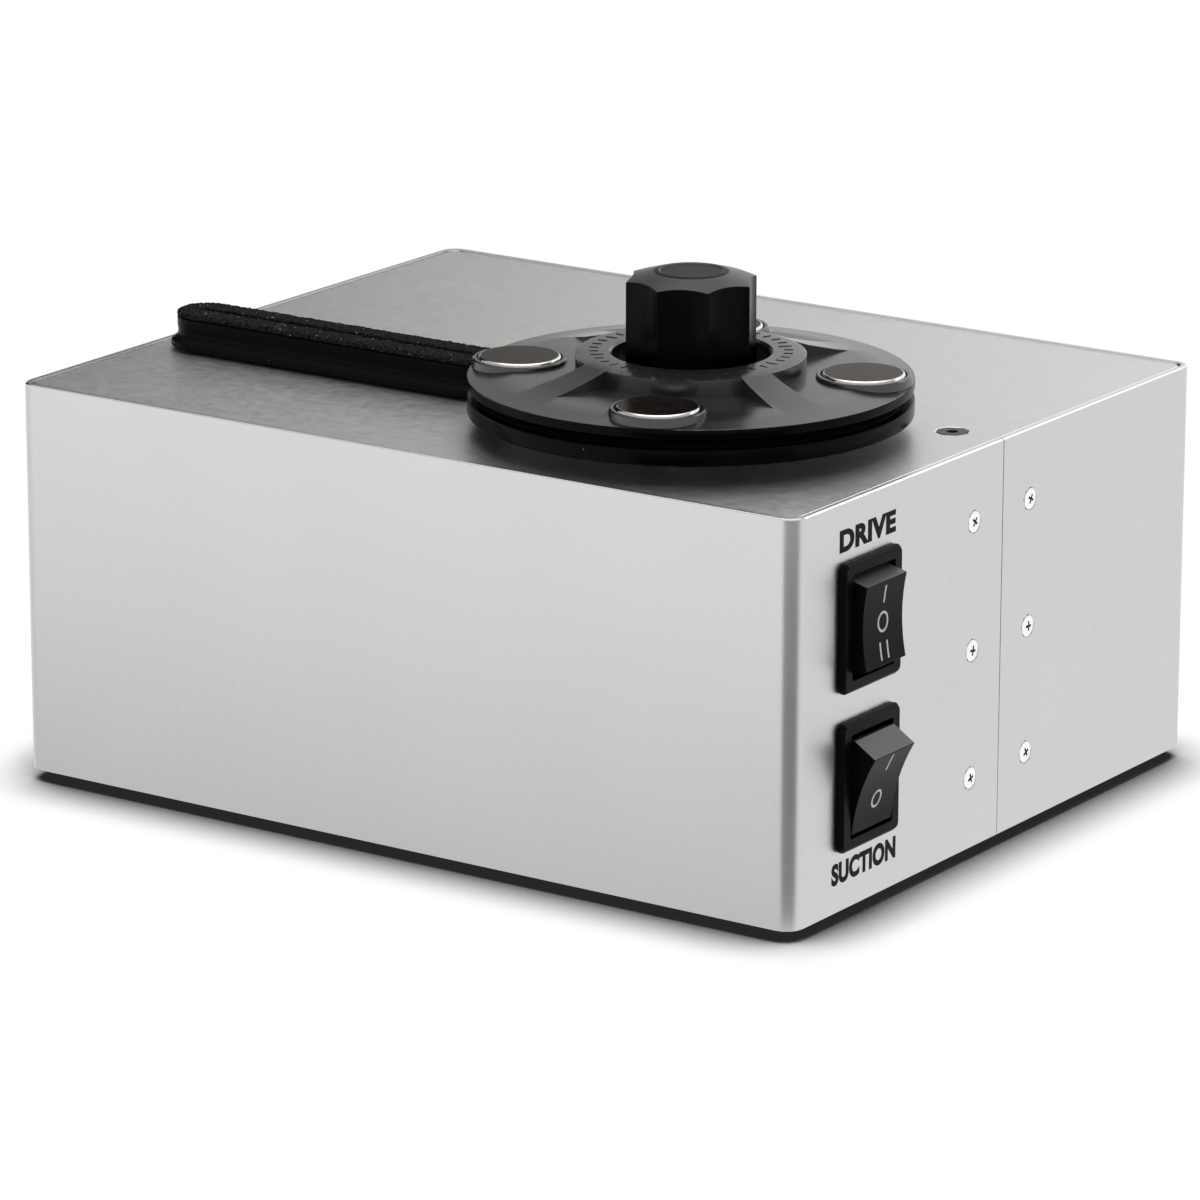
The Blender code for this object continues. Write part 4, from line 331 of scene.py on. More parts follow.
def shade(piece, sharp=math.radians(32)):
    """Smooth shading, broken at the sharp edges, with flat faces kept flat."""
    make_active(piece)
    bpy.ops.object.shade_smooth_by_angle(angle=sharp)
    apply_modifier(piece, "WEIGHTED_NORMAL", mode="FACE_AREA", weight=100, keep_sharp=True)


def add_object(name, data):
    """A new object in the scene for a mesh, a lamp or a camera."""
    piece = bpy.data.objects.new(name, data)
    bpy.context.scene.collection.objects.link(piece)
    return piece


def copy_of(piece, name):
    """A copy with its own mesh."""
    twin = piece.copy()
    twin.data = piece.data.copy()
    twin.name = name
    twin.data.name = name
    bpy.context.scene.collection.objects.link(twin)
    return twin


def place(piece, matrix):
    """Moves a piece's mesh, and leaves its object at the origin."""
    make_active(piece)
    piece.matrix_world = matrix
    bpy.ops.object.transform_apply(location=True, rotation=True, scale=True)


def merged_copy(node, name, joined=True):
    """A clean copy of a CAD node: doubles merged and, unless it has many cut-outs, flat faces joined."""
    source = frame["nodes"][node]
    deselect_all()
    mesh = source.data.copy()
    mesh.name = name
    piece = add_object(name, mesh)
    edit(piece)
    select_everything()
    bpy.ops.mesh.remove_doubles(threshold=1e-6)
    if joined:
        bpy.ops.mesh.dissolve_limited(angle_limit=math.radians(0.5))
    leave()
    return piece


def arc_points(centre, radius, start, end, steps, height):
    """Points along an arc in a level plane."""
    points = []
    for step in range(steps + 1):
        angle = start + (end - start) * step / steps
        x = centre[0] + radius * math.cos(angle)
        y = centre[1] + radius * math.sin(angle)
        points.append(Vector((x, y, height)))
    return points


def coat(piece, name, test):
    """Gives the faces that pass a test a second material."""
    piece.data.materials.append(material_for(name))
    last = len(piece.data.materials) - 1
    for face in piece.data.polygons:
        if test(face):
            face.material_index = last


def is_top_edge(face):
    """Whether a face is part of the outer broken edge round the top of the case."""
    outward = face.center.x * face.normal.x + face.center.y * face.normal.y
    near_top = face.center.z > DECK_TOP - 0.001
    return near_top and outward > 0 and 0.1 < face.normal.z < LEVEL


def faces_up(face):
    """Whether a face is level and looks up."""
    return face.normal.z > LEVEL


def finish(piece, body, slot, *nodes, look=None):
    """Gives a piece the material of its look, or else of its slot, parents it to its body and hides the
    CAD nodes that it stands for.
    """
    piece.data.materials.clear()
    piece.data.materials.append(material_for(look or slot))
    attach(piece, body)
    if nodes:
        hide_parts(*nodes)


# Shader groups

def new_group(name, inputs, outputs):
    """A shader group with named sockets, and its input and output nodes."""
    group = bpy.data.node_groups.new(name, "ShaderNodeTree")
    for label, kind, value in inputs:
        socket = group.interface.new_socket(label, in_out="INPUT", socket_type=kind)
        socket.default_value = value
    for label, kind in outputs:
        group.interface.new_socket(label, in_out="OUTPUT", socket_type=kind)
    return group, group.nodes.new("NodeGroupInput"), group.nodes.new("NodeGroupOutput")


def add_node(tree, kind, operation=None):
    """A new shader node, set to one of its operations where one is asked for."""
    node = tree.nodes.new(f"ShaderNode{kind}")
    if operation:
        node.operation = operation
    return node


def object_places(tree):
    """Places in the object's own space."""
    return add_node(tree, "TexCoord").outputs["Object"]


def feed(tree, socket, value):
    """Sets a socket to a number or a colour, or links it to another socket."""
    if isinstance(value, (int, float)):
        socket.default_value = value
    elif isinstance(value, tuple):
        socket.default_value = (*value, 1.0)
    else:
        tree.links.new(value, socket)


def number(tree, operation, first, second):
    """A sum on two sockets or numbers."""
    node = add_node(tree, "Math", operation)
    for socket, value in zip(node.inputs, (first, second)):
        feed(tree, socket, value)
    return node.outputs[0]


def spread(tree, value, low, high, new_low, new_high):
    """Maps a value from one range to another."""
    node = add_node(tree, "MapRange")
    tree.links.new(value, node.inputs["Value"])
    for label, amount in (
        ("From Min", low), ("From Max", high), ("To Min", new_low), ("To Max", new_high),
    ):
        feed(tree, node.inputs[label], amount)
    return node.outputs["Result"]


def grain_group():
    """Stretched noise in object space: a mask from 0 to 1."""
    group, given, result = new_group(
        "stretched_grain",
        [
            ("Stretch", "NodeSocketVector", (1.0, 1.0, 1.0)),
            ("Detail", "NodeSocketFloat", 2.0),
            ("Contrast", "NodeSocketFloat", 1.0),
        ],
        [("Mask", "NodeSocketFloat")],
    )
    scale = add_node(group, "VectorMath", "MULTIPLY")
    noise = add_node(group, "TexNoise")
    noise.inputs["Scale"].default_value = 1.0
    group.links.new(object_places(group), scale.inputs[0])
    group.links.new(given.outputs["Stretch"], scale.inputs[1])
    group.links.new(scale.outputs[0], noise.inputs["Vector"])
    group.links.new(given.outputs["Detail"], noise.inputs["Detail"])
    centred = number(group, "SUBTRACT", noise.outputs["Fac"], 0.5)
    wide = number(group, "MULTIPLY", centred, given.outputs["Contrast"])
    mask = number(group, "ADD", wide, 0.5)
    group.links.new(mask, result.inputs["Mask"])
    return group


def speck_group():
    """Scattered dust specks in object space: a mask from 0 to 1."""
    group, given, result = new_group(
        "dust_specks",
        [
            ("Density", "NodeSocketFloat", 900.0),
            ("Size", "NodeSocketFloat", 0.1),
            ("Amount", "NodeSocketFloat", 0.5),
        ],
        [("Mask", "NodeSocketFloat")],
    )
    cells = add_node(group, "TexVoronoi")
    group.links.new(object_places(group), cells.inputs["Vector"])
    group.links.new(given.outputs["Density"], cells.inputs["Scale"])
    near = spread(group, cells.outputs["Distance"], 0.0, given.outputs["Size"], 1.0, 0.0)
    parts = add_node(group, "SeparateColor")
    group.links.new(cells.outputs["Color"], parts.inputs[0])
    chosen = number(group, "LESS_THAN", parts.outputs[0], given.outputs["Amount"])
    mask = number(group, "MULTIPLY", near, chosen)
    group.links.new(mask, result.inputs["Mask"])
    return group


def placed_group(tree, name, maker, **values):
    """One use of a shared shader group, built the first time it is asked for."""
    group = bpy.data.node_groups.get(name) or maker()
    node = add_node(tree, "Group")
    node.node_tree = group
    for label, value in values.items():
        node.inputs[label.capitalize()].default_value = value
    return node.outputs["Mask"]


def grain(tree, stretch, detail=2.0, contrast=1.0):
    """Noise with the given number of marks to the metre along x, y and z."""
    return placed_group(
        tree, "stretched_grain", grain_group, stretch=stretch, detail=detail, contrast=contrast
    )


def specks(tree, density, size, amount):
    """Dust specks: cells to the metre, speck size in a cell, and share of cells with a speck."""
    return placed_group(
        tree, "dust_specks", speck_group, density=density, size=size, amount=amount
    )


# Materials

def new_material(name):
    """A material with one Principled shader, and that shader."""
    material = bpy.data.materials.new(name)
    material.use_nodes = True
    shader = material.node_tree.nodes["Principled BSDF"]
    return material, material.node_tree, shader


def mixed_colour(tree, mask, first, second):
    """A colour between two, by a mask."""
    node = add_node(tree, "Mix")
    node.data_type = "RGBA"
    tree.links.new(mask, node.inputs["Factor"])
    feed(tree, node.inputs[6], first)
    feed(tree, node.inputs[7], second)
    return node.outputs[2]


def bumped(tree, height, shader, strength, distance):
    """Feeds a height to the shader's normal."""
    node = add_node(tree, "Bump")
    node.inputs["Strength"].default_value = strength
    node.inputs["Distance"].default_value = distance
    tree.links.new(height, node.inputs["Height"])
    tree.links.new(node.outputs["Normal"], shader.inputs["Normal"])


def shades(colour, amount):
    """A darker and a lighter version of a colour."""
    darker = tuple(part * (1 - amount) for part in colour)
    lighter = tuple(min(part * (1 + amount), 1) for part in colour)
    return darker, lighter


def brushed(name, roughness):
    """Fine brushed, clear anodised sheet with a faint cloudiness."""
    metal = settings().metal
    material, tree, shader = new_material(name)
    along = 1 / metal.grain_length
    across = 1 / metal.grain_width
    marks = grain(tree, (along, along, across), 3.0, 1.6)
    clouds = grain(tree, (30.0, 30.0, 30.0), 2.0, 1.5)
    darker, lighter = shades(tuple(metal.colour), 0.055)
    marked = mixed_colour(tree, marks, darker, lighter)
    veil = spread(tree, clouds, 0.0, 1.0, 0.97, 1.0)
    tint = add_node(tree, "VectorMath", "SCALE")
    tree.links.new(marked, tint.inputs[0])
    tree.links.new(veil, tint.inputs["Scale"])
    tree.links.new(tint.outputs[0], shader.inputs["Base Color"])
    rough = spread(tree, marks, 0.0, 1.0, roughness - 0.04, roughness + 0.05)
    tree.links.new(rough, shader.inputs["Roughness"])
    shader.inputs["Metallic"].default_value = 1.0
    bumped(tree, marks, shader, 0.12, 0.00002)
    return material


def aluminium():
    """The folded sheet of the case."""
    return brushed("brushed_aluminium", settings().metal.roughness)


def deck_aluminium():
    """The top plate, brushed a little coarser."""
    return brushed("deck_aluminium", settings().metal.deck_roughness)


def cut_aluminium():
    """The broken edges of the sheet, which shine."""
    return plain_metal("cut_aluminium_edge", (0.86, 0.86, 0.86), 0.16, 1500.0, 0.04, 0.02)


def plain_metal(name, colour, roughness, marks_per_metre, uneven=0.06, bump=0.1, edge=1.0):
    """A metal with small even marks in its colour, gloss and surface, darker when seen aslant."""
    material, tree, shader = new_material(name)
    marks = grain(tree, (marks_per_metre,) * 3, 4.0, 1.5)
    darker, lighter = shades(colour, uneven)
    tree.links.new(mixed_colour(tree, marks, darker, lighter), shader.inputs["Base Color"])
    rough = spread(tree, marks, 0.0, 1.0, roughness * 0.8, roughness * 1.25)
    tree.links.new(rough, shader.inputs["Roughness"])
    shader.inputs["Metallic"].default_value = 1.0
    shader.inputs["Specular Tint"].default_value = (edge, edge, edge, 1)
    bumped(tree, marks, shader, bump, 0.00002)
    return material


def moulded(name, colour, roughness, marks_per_metre, bump=0.15, dust=0.0, gloss=0.5):
    """A moulded plastic or rubber with fine texture and, where asked, specks of dust."""
    material, tree, shader = new_material(name)
    marks = grain(tree, (marks_per_metre,) * 3, 3.0, 1.4)
    darker, lighter = shades(colour, 0.12)
    base = mixed_colour(tree, marks, darker, lighter)
    rough = spread(tree, marks, 0.0, 1.0, roughness * 0.94, roughness * 1.06)
    if dust:
        mask = specks(tree, 700.0, 0.16, dust)
        base = mixed_colour(tree, mask, base, (0.35, 0.35, 0.35))
    tree.links.new(base, shader.inputs["Base Color"])
    tree.links.new(rough, shader.inputs["Roughness"])
    shader.inputs["Specular IOR Level"].default_value = gloss
    bumped(tree, marks, shader, bump, 0.00003)
    return material


def zinc_steel():
    """Bright zinc plate."""
    return plain_metal("zinc_plated_steel", (0.93, 0.93, 0.93), 0.3, 1500.0)


def painted_shade_steel():
    """Dark steel for the screws' cross recesses: painted shade inside the cross."""
    return plain_metal("painted_shade_steel", (0.1, 0.1, 0.1), 0.5, 1500.0)


def coated_steel():
    """Black powder coat on steel."""
    return moulded("black_coated_steel", (0.02, 0.02, 0.02), 0.45, 2500.0, 0.3)


def nickel():
    """Polished nickel with faint rubbed marks."""
    return plain_metal("polished_nickel", (0.8, 0.79, 0.77), 0.12, 900.0, 0.06, 0.02)


def painted_reflection_plate():
    """The magnets' top faces: nickel painted dark and a little brown, a painted reflection."""
    return plain_metal("painted_reflection_nickel", (0.12, 0.1, 0.088), 0.24, 900.0, 0.22, 0.05, 0.55)


def brass():
    """Turned brass."""
    return plain_metal("turned_brass", (0.7, 0.5, 0.2), 0.28, 1200.0)


def bronze():
    """Porous bearing bronze."""
    return plain_metal("sintered_bronze", (0.45, 0.3, 0.18), 0.5, 3000.0, 0.15, 0.3)


def iron():
    """Dark coated motor iron."""
    return plain_metal("coated_iron", (0.16, 0.16, 0.17), 0.5, 1800.0, 0.12, 0.2)


def gloss_black():
    """Polished black."""
    return moulded("gloss_black", (0.001, 0.001, 0.0011), 0.2, 500.0, 0.03, 0.01, 0.05)


def satin_black():
    """Satin black moulding."""
    return moulded("satin_black", (0.0028, 0.0029, 0.003), 0.34, 3000.0, 0.2, 0.006, 0.06)


def charcoal():
    """Charcoal moulding with a fine even texture and a little dust."""
    return moulded("moulded_charcoal", (0.018, 0.018, 0.0185), 0.22, 2200.0, 0.03, 0.02, 0.9)


def painted_light_cone_black():
    """The knob's cone: a lighter, glossier copy of the knob's black, painted light on the faces that
    look up.
    """
    return moulded("painted_light_cone_black", (0.006, 0.006, 0.006), 0.3, 900.0, 0.03, 0.01, 0.6)


def painted_light_flank_grey():
    """The rockers' upper flanks: a lighter grey, painted light where they face up."""
    return moulded("painted_light_flank_grey", (0.06, 0.06, 0.062), 0.35, 2200.0, 0.05, 0.01, 0.8)


def rubber():
    """Matt black rubber."""
    return moulded("matt_rubber", (0.004, 0.004, 0.004), 0.75, 1800.0, 0.3, 0.0, 0.15)


def tank_plastic():
    """Cloudy white tank plastic."""
    return moulded("tank_plastic", (0.7, 0.72, 0.72), 0.45, 400.0, 0.1)


def board_green():
    """Green lacquered circuit board."""
    return moulded("board_green", (0.03, 0.16, 0.06), 0.35, 600.0, 0.05)


def velvet():
    """Black velvet: dull pile with a soft sheen and some lint."""
    material, tree, shader = new_material("black_velvet")
    tufts = grain(tree, (1300.0, 1300.0, 1300.0), 4.0, 2.6)
    base = mixed_colour(tree, tufts, (0.002, 0.002, 0.002), (0.034, 0.034, 0.036))
    lint = specks(tree, 800.0, 0.24, 0.3)
    base = mixed_colour(tree, lint, base, (0.42, 0.42, 0.42))
    tree.links.new(base, shader.inputs["Base Color"])
    rough = spread(tree, tufts, 0.0, 1.0, 0.85, 1.0)
    tree.links.new(rough, shader.inputs["Roughness"])
    shader.inputs["Specular IOR Level"].default_value = 0.02
    shader.inputs["Sheen Weight"].default_value = 0.015
    shader.inputs["Sheen Roughness"].default_value = 0.4
    bumped(tree, tufts, shader, 0.8, 0.0003)
    return material


def print_white():
    """Off-white print on the rockers."""
    return moulded("white_print", (0.6, 0.6, 0.59), 0.5, 2500.0, 0.1)


def print_black():
    """Black print on the case."""
    return moulded("black_print", (0.004, 0.004, 0.004), 0.5, 2500.0, 0.1, 0.0, 0.08)


MAKERS = {
    "aluminium": aluminium,
    "deck": deck_aluminium,
    "cut_edge": cut_aluminium,
    "steel": zinc_steel,
    "recess": painted_shade_steel,
    "black_steel": coated_steel,
    "nickel": nickel,
    "painted_reflection_plate": painted_reflection_plate,
    "brass": brass,
    "bronze": bronze,
    "gloss_black": gloss_black,
    "satin_black": satin_black,
    "charcoal": charcoal,
    "painted_light_cone_black": painted_light_cone_black,
    "painted_light_flank_grey": painted_light_flank_grey,
    "rubber": rubber,
    "velvet": velvet,
    "tank_plastic": tank_plastic,
    "board_green": board_green,
    "iron": iron,
    "print_white": print_white,
    "print_black": print_black,
}
MADE = {}


def material_for(slot):
    """The material of a slot, made once."""
    if slot not in MADE:
        MADE[slot] = MAKERS[slot]()
    return MADE[slot]


# Operators, one for each group of pieces

class PieceOperator:
    """What the piece operators share."""

    bl_options = {"REGISTER", "UNDO"}

    def execute(self, context):
        self.make()
        deselect_all()
        return {"FINISHED"}


class CLEANER_OT_finish_nodes(PieceOperator, bpy.types.Operator):
    """Gives every CAD node the material of its slot"""

    bl_idname = "cleaner.finish_nodes"
    bl_label = "Finish the CAD nodes"

    def make(self):
        for subpart in frame["record"]["subparts"]:
            node = frame["nodes"][subpart["node"]]
            node.data.materials.clear()
            node.data.materials.append(material_for(subpart["material_slot"]))


class CLEANER_OT_case(PieceOperator, bpy.types.Operator):
    """Makes the case's sheet metal with broken edges and smooth corners"""

    bl_idname = "cleaner.case"
    bl_label = "Sheet metal of the case"

    def make(self):
        edge = settings().metal.edge
        for node in ("front_shell", "rear_shell", "deck_plate"):
            piece = merged_copy(node, f"{node}_sheet", joined=node != "rear_shell")
            round_edges(piece, edge, segments=2)
            sheet = "deck" if node == "deck_plate" else "aluminium"
            finish(piece, "case", "aluminium", node, look=sheet)
            coat(piece, "cut_edge", is_top_edge)


SIDE_SCREW_NODES = [
    f"side_screw_{side}_{end}_{level}"
    for side in ("left", "right")
    for end in ("front", "rear")
    for level in ("bottom", "middle", "top")
]


def make_screw_head():
    """One countersunk head with a cross recess, facing up at the origin."""
    sizes = settings().screws
    low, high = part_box(SIDE_SCREW_NODES[0])
    radius = (high[1] - low[1]) / 2 - sizes.washer_gap / 2
    flat = radius - sizes.rim
    depth = radius * 0.9
    section = [
        (0, sizes.crown), (flat * 0.5, sizes.crown * 0.8), (flat, 0),
        (radius, -sizes.crown * 0.4), (radius * 0.45, -depth), (0, -depth),
    ]
    head = draw_turned("screw_head", section, (0, 0, 0), 40)
    half = sizes.cross / 2
    wing = sizes.wing / 2
    tip = half * 0.25
    for turn in range(2):
        outline = [(-half, -wing, 0), (half, -wing, 0), (half, wing, 0), (-half, wing, 0)]
        tool = draw_block("cross_tool", [Vector(p) for p in outline], (0, 0, -sizes.cross_depth))
        edit(tool)
        pick(tool, "FACE", lambda face: face.normal.z < -0.5)
        bpy.ops.transform.resize(value=(tip / half, 0.6, 1))
        leave()
        lift = Matrix.Translation((0, 0, sizes.crown * 1.5))
        place(tool, lift @ Matrix.Rotation(turn * QUARTER_TURN, 4, "Z"))
        combine(head, tool, "DIFFERENCE")
    round_edges(head, 0.00005, segments=2)
    return head


def is_in_recess(face):
    """Whether a face of the screw head, lying flat at the origin, is inside its cross."""
    reach = face.center.xy.length
    return reach < settings().screws.cross / 2 and (face.center.z < 0 or face.normal.z < 0.6)


class CLEANER_OT_side_screws(PieceOperator, bpy.types.Operator):
    """Models one cross-head screw and copies it to the sides of the case"""

    bl_idname = "cleaner.side_screws"
    bl_label = "Side screws"

    def make(self):
        head = make_screw_head()
        for index, node in enumerate(SIDE_SCREW_NODES):
            low, high = corners(node)
            middle = (low + high) / 2
            side = -1 if "left" in node else 1
            x = high.x if side > 0 else low.x
            outward = Matrix.Rotation(side * QUARTER_TURN, 4, "Y")
            spin = Matrix.Rotation(index * 1.1, 4, "Z")
            screw = copy_of(head, f"{node}_head")
            finish(screw, "case", "steel", node)
            # Painted shade: the faces inside the cross take the dark steel
            coat(screw, "recess", is_in_recess)
            place(screw, Matrix.Translation((x, middle.y, middle.z)) @ outward @ spin)
        bpy.data.objects.remove(head)


class CLEANER_OT_deck_screws(PieceOperator, bpy.types.Operator):
    """Makes the two socket screws in the deck"""

    bl_idname = "cleaner.deck_screws"
    bl_label = "Deck screws"

    def make(self):
        for side in ("left", "right"):
            node = f"deck_screw_{side}"
            piece = merged_copy(node, f"{node}_head")
            round_edges(piece, 0.0002)
            finish(piece, "case", "black_steel", node)


def bar_section():
    """Half section of the suction bar: stem, foot bead, waist, wall and slot floor."""
    radius = (PAD_HIGH.y - PAD_LOW.y) / 2
    foot = (BAR_HIGH.y - BAR_LOW.y) / 2
    base = DECK_TOP + 0.0003
    stem = 0.005
    bead = 0.0015
    bead_turn = math.radians(125)
    waist = ((0.00752, 0.0035), (0.0072, 0.0042), (0.0071, 0.0047), (0.00718, 0.0055))
    points = [(0, BAR_LOW.z), (stem, BAR_LOW.z), (stem, base)]
    for step in range(9):
        angle = -QUARTER_TURN + step * bead_turn / 8
        x = foot - bead + bead * math.cos(angle)
        points.append((x, base + bead + bead * math.sin(angle)))
    points += [(x, DECK_TOP + height) for x, height in waist]
    return points + [(radius, DECK_TOP + 0.0063), (radius, BAR_HIGH.z), (0, BAR_HIGH.z)]


def draw_long_round(name, section, middle, half_length, steps):
    """A bar with round ends: a half turn, drawn out to the middle and mirrored."""
    centre = Vector((half_length, 0, 0))
    points = [centre + Vector((0, radius, height)) for radius, height in section]
    piece = draw_line(name, points)
    select_everything()
    bpy.ops.mesh.spin(steps=steps, angle=HALF_TURN, center=centre, axis=(0, 0, 1))
    select_everything()
    bpy.ops.mesh.remove_doubles(threshold=1e-6)
    limit = half_length + 1e-6
    pick(
        piece, "EDGE",
        lambda edge: all(vert.co.x < limit for vert in edge.verts) and len(edge.link_faces) == 1,
    )
    bpy.ops.mesh.extrude_region_move(TRANSFORM_OT_translate={"value": (-half_length, 0, 0)})
    leave()
    apply_modifier(piece, "MIRROR", use_axis=(True, False, False), merge_threshold=1e-6)
    edit(piece)
    leave_outward()
    place(piece, Matrix.Translation(middle))
    return piece


def bar_middle():
    """The middle of the suction bar in plan."""
    return Vector(((PAD_LOW.x + PAD_HIGH.x) / 2, (PAD_LOW.y + PAD_HIGH.y) / 2, 0))


def bar_half_length():
    """Half the distance between the centres of the bar's round ends."""
    return (PAD_HIGH.x - PAD_LOW.x - PAD_HIGH.y + PAD_LOW.y) / 2


def slot_tool(bottom, top, half_width=0.0012):
    """The long cutter for the suction slot."""
    section = [(0, bottom), (half_width, bottom), (half_width, top), (0, top)]
    return draw_long_round("slot_tool", section, bar_middle(), bar_half_length(), 12)


class CLEANER_OT_suction_bar(PieceOperator, bpy.types.Operator):
    """Makes the suction bar with its rounded foot and slot"""

    bl_idname = "cleaner.suction_bar"
    bl_label = "Suction bar"

    def make(self):
        section = bar_section()
        bar = draw_long_round("suction_bar", section, bar_middle(), bar_half_length(), 32)
        combine(bar, slot_tool(BAR_LOW.z - 0.001, BAR_HIGH.z + 0.001), "DIFFERENCE")
        shade(bar)
        finish(bar, "case", "satin_black", "nozzle_body")


class CLEANER_OT_velvet_pad(PieceOperator, bpy.types.Operator):
    """Makes the velvet strip with an uneven pile"""

    bl_idname = "cleaner.velvet_pad"
    bl_label = "Velvet pad"

    def make(self):
        sizes = settings().pad
        radius = (PAD_HIGH.y - PAD_LOW.y) / 2
        bottom = PAD_LOW.z
        top = PAD_HIGH.z - sizes.pile * 0.4
        edge = sizes.edge
        section = [
            (0, bottom), (radius - 0.0001, bottom), (radius, bottom + 0.0004),
            (radius, top - edge), (radius - edge * 0.35, top - edge * 0.3),
            (radius - edge, top), (0, top),
        ]
        pad = draw_long_round("velvet_strip", section, bar_middle(), bar_half_length(), 24)
        combine(pad, slot_tool(bottom - 0.001, top + 0.001), "DIFFERENCE")
        apply_modifier(pad, "REMESH", mode="VOXEL", voxel_size=sizes.voxel)
        texture = bpy.data.textures.new("pile", "CLOUDS")
        texture.noise_scale = sizes.tuft
        texture.noise_depth = 3
        apply_modifier(
            pad, "DISPLACE", texture=texture, texture_coords="LOCAL",
            strength=sizes.pile, mid_level=0.5,
        )
        shade(pad, HALF_TURN)
        finish(pad, "case", "velvet", "velvet_pad")


def clamp_section():
    """Half section of the clamp disc from its hole round to the hub's underside."""
    top = DECK_TOP + 0.0136
    under = DECK_TOP + 0.0112
    hole, well, well_floor = 0.0058, 0.0189, under + 0.0028
    ring, ring_inside, ring_outside = DISC_HIGH.z, 0.0195, 0.0256
    ramp = (
        (0.0280, 0.0051), (0.0315, 0.0039), (0.0350, 0.0030),
        (0.0388, 0.0020), (0.0423, 0.0013), (0.0480, 0.0004),
    )
    rim = (DISC_HIGH.x - DISC_LOW.x) / 2
    edge, bow, bow_drop = 0.0004, 0.0001, 0.00012
    groove_inside, groove_outside, groove_top = 0.0452, 0.0508, under + 0.0011
    hub_inside, hub_outside = 0.0135, 0.0240
    return [
        (hole, under), (hole, well_floor), (well, well_floor), (well, ring - 0.0006),
        (ring_inside, ring), (ring_outside, ring),
        *((radius, top + rise) for radius, rise in ramp),
        (rim - edge, top), (rim - bow, top - bow_drop), (rim, top - edge),
        (rim, under + edge), (rim - bow, under + bow_drop), (rim - edge, under),
        (groove_outside, under), (groove_outside, groove_top),
        (groove_inside, groove_top), (groove_inside, under),
        (hub_outside, under), (hub_outside, DISC_LOW.z), (hub_inside, DISC_LOW.z),
        (hub_inside, under),
    ]


def magnet_angles():
    """The direction of each magnet from the spindle."""
    offsets = [middle_of(node) - SPINDLE for node in MAGNETS]
    return [math.atan2(offset.y, offset.x) for offset in offsets]


def pocket_points(middle, height):
    """A recess between two ramps: a sector whose sides follow the ramps."""
    eighth = math.pi / 4
    outer, ramp_outer_half = 0.0480, 0.0059
    inner, ramp_inner_half = 0.0275, 0.0042
    inner_angle = eighth - math.asin(ramp_inner_half / inner)
    outer_angle = eighth - math.asin(ramp_outer_half / outer)
    points = arc_points(SPINDLE, outer, middle - outer_angle, middle + outer_angle, 24, height)
    points += arc_points(SPINDLE, inner, middle + inner_angle, middle - inner_angle, 16, height)
    return points


def is_outer_wall(face):
    """Whether a face of the clamp is on the upright walls of its rim."""
    in_rim = (face.center - SPINDLE).xy.length > 0.0505
    return in_rim and face.center.z < DECK_TOP + 0.0138 and abs(face.normal.z) < 0.4


def add_collar(disc, node, floor):
    """Raises the collar of one magnet on the clamp and bores its seat."""
    low, high = corners(node)
    middle = (low + high) / 2
    centre = (middle.x, middle.y, 0)
    foot, shoulder, lip = 0.0116, 0.0113, 0.0110
    root = floor - 0.0012
    top = high.z - 0.0005
    section = [(0, root), (foot, root), (shoulder, top - 0.0003), (lip, top), (0, top)]
    combine(disc, draw_turned("collar_tool", section, centre, 64), "UNION")
    seat = (high.x - low.x) / 2 + CLEARANCE
    bottom = low.z - CLEARANCE
    section = [(0, bottom), (seat, bottom), (seat, DISC_HIGH.z), (0, DISC_HIGH.z)]
    combine(disc, draw_turned("seat_tool", section, centre, 64), "DIFFERENCE")


class CLEANER_OT_clamp_disc(PieceOperator, bpy.types.Operator):
    """Makes the label clamp: ring, four ramps, sunk pockets and collars"""

    bl_idname = "cleaner.clamp_disc"
    bl_label = "Clamp disc"

    def make(self):
        sizes = settings().clamp
        disc = draw_turned("label_clamp", clamp_section(), SPINDLE_FOOT, sizes.steps)
        floor = DECK_TOP + 0.0149
        rise = (0, 0, DISC_HIGH.z - floor)
        for angle in magnet_angles():
            tool = draw_block("pocket_tool", pocket_points(angle, floor), rise)
            combine(disc, tool, "DIFFERENCE")
        for node in MAGNETS:
            add_collar(disc, node, floor)
        round_edges(disc, sizes.edge, segments=2)
        finish(disc, "clamp", "charcoal", "clamp_disc")
        # Painted shade: the rim's upright walls take a darker black than the charcoal top
        coat(disc, "gloss_black", is_outer_wall)


class CLEANER_OT_magnets(PieceOperator, bpy.types.Operator):
    """Makes the four polished magnets"""

    bl_idname = "cleaner.magnets"
    bl_label = "Magnets"

    def make(self):
        edge = settings().clamp.magnet_edge
        for node in MAGNETS:
            low, high = corners(node)
            middle = (low + high) / 2
            radius = (high.x - low.x) / 2
            section = [(0, low.z), (radius, low.z)]
            for step in range(7):
                angle = step * QUARTER_TURN / 6
                x = radius - edge + edge * math.cos(angle)
                section.append((x, high.z - edge + edge * math.sin(angle)))
            section.append((0, high.z))
            disc = draw_turned(f"{node}_disc", section, (middle.x, middle.y, 0), 96)
            shade(disc)
            finish(disc, "clamp", "nickel", node)
            # Painted reflection: the level tops take the dark brownish plate
            coat(disc, "painted_reflection_plate", faces_up)


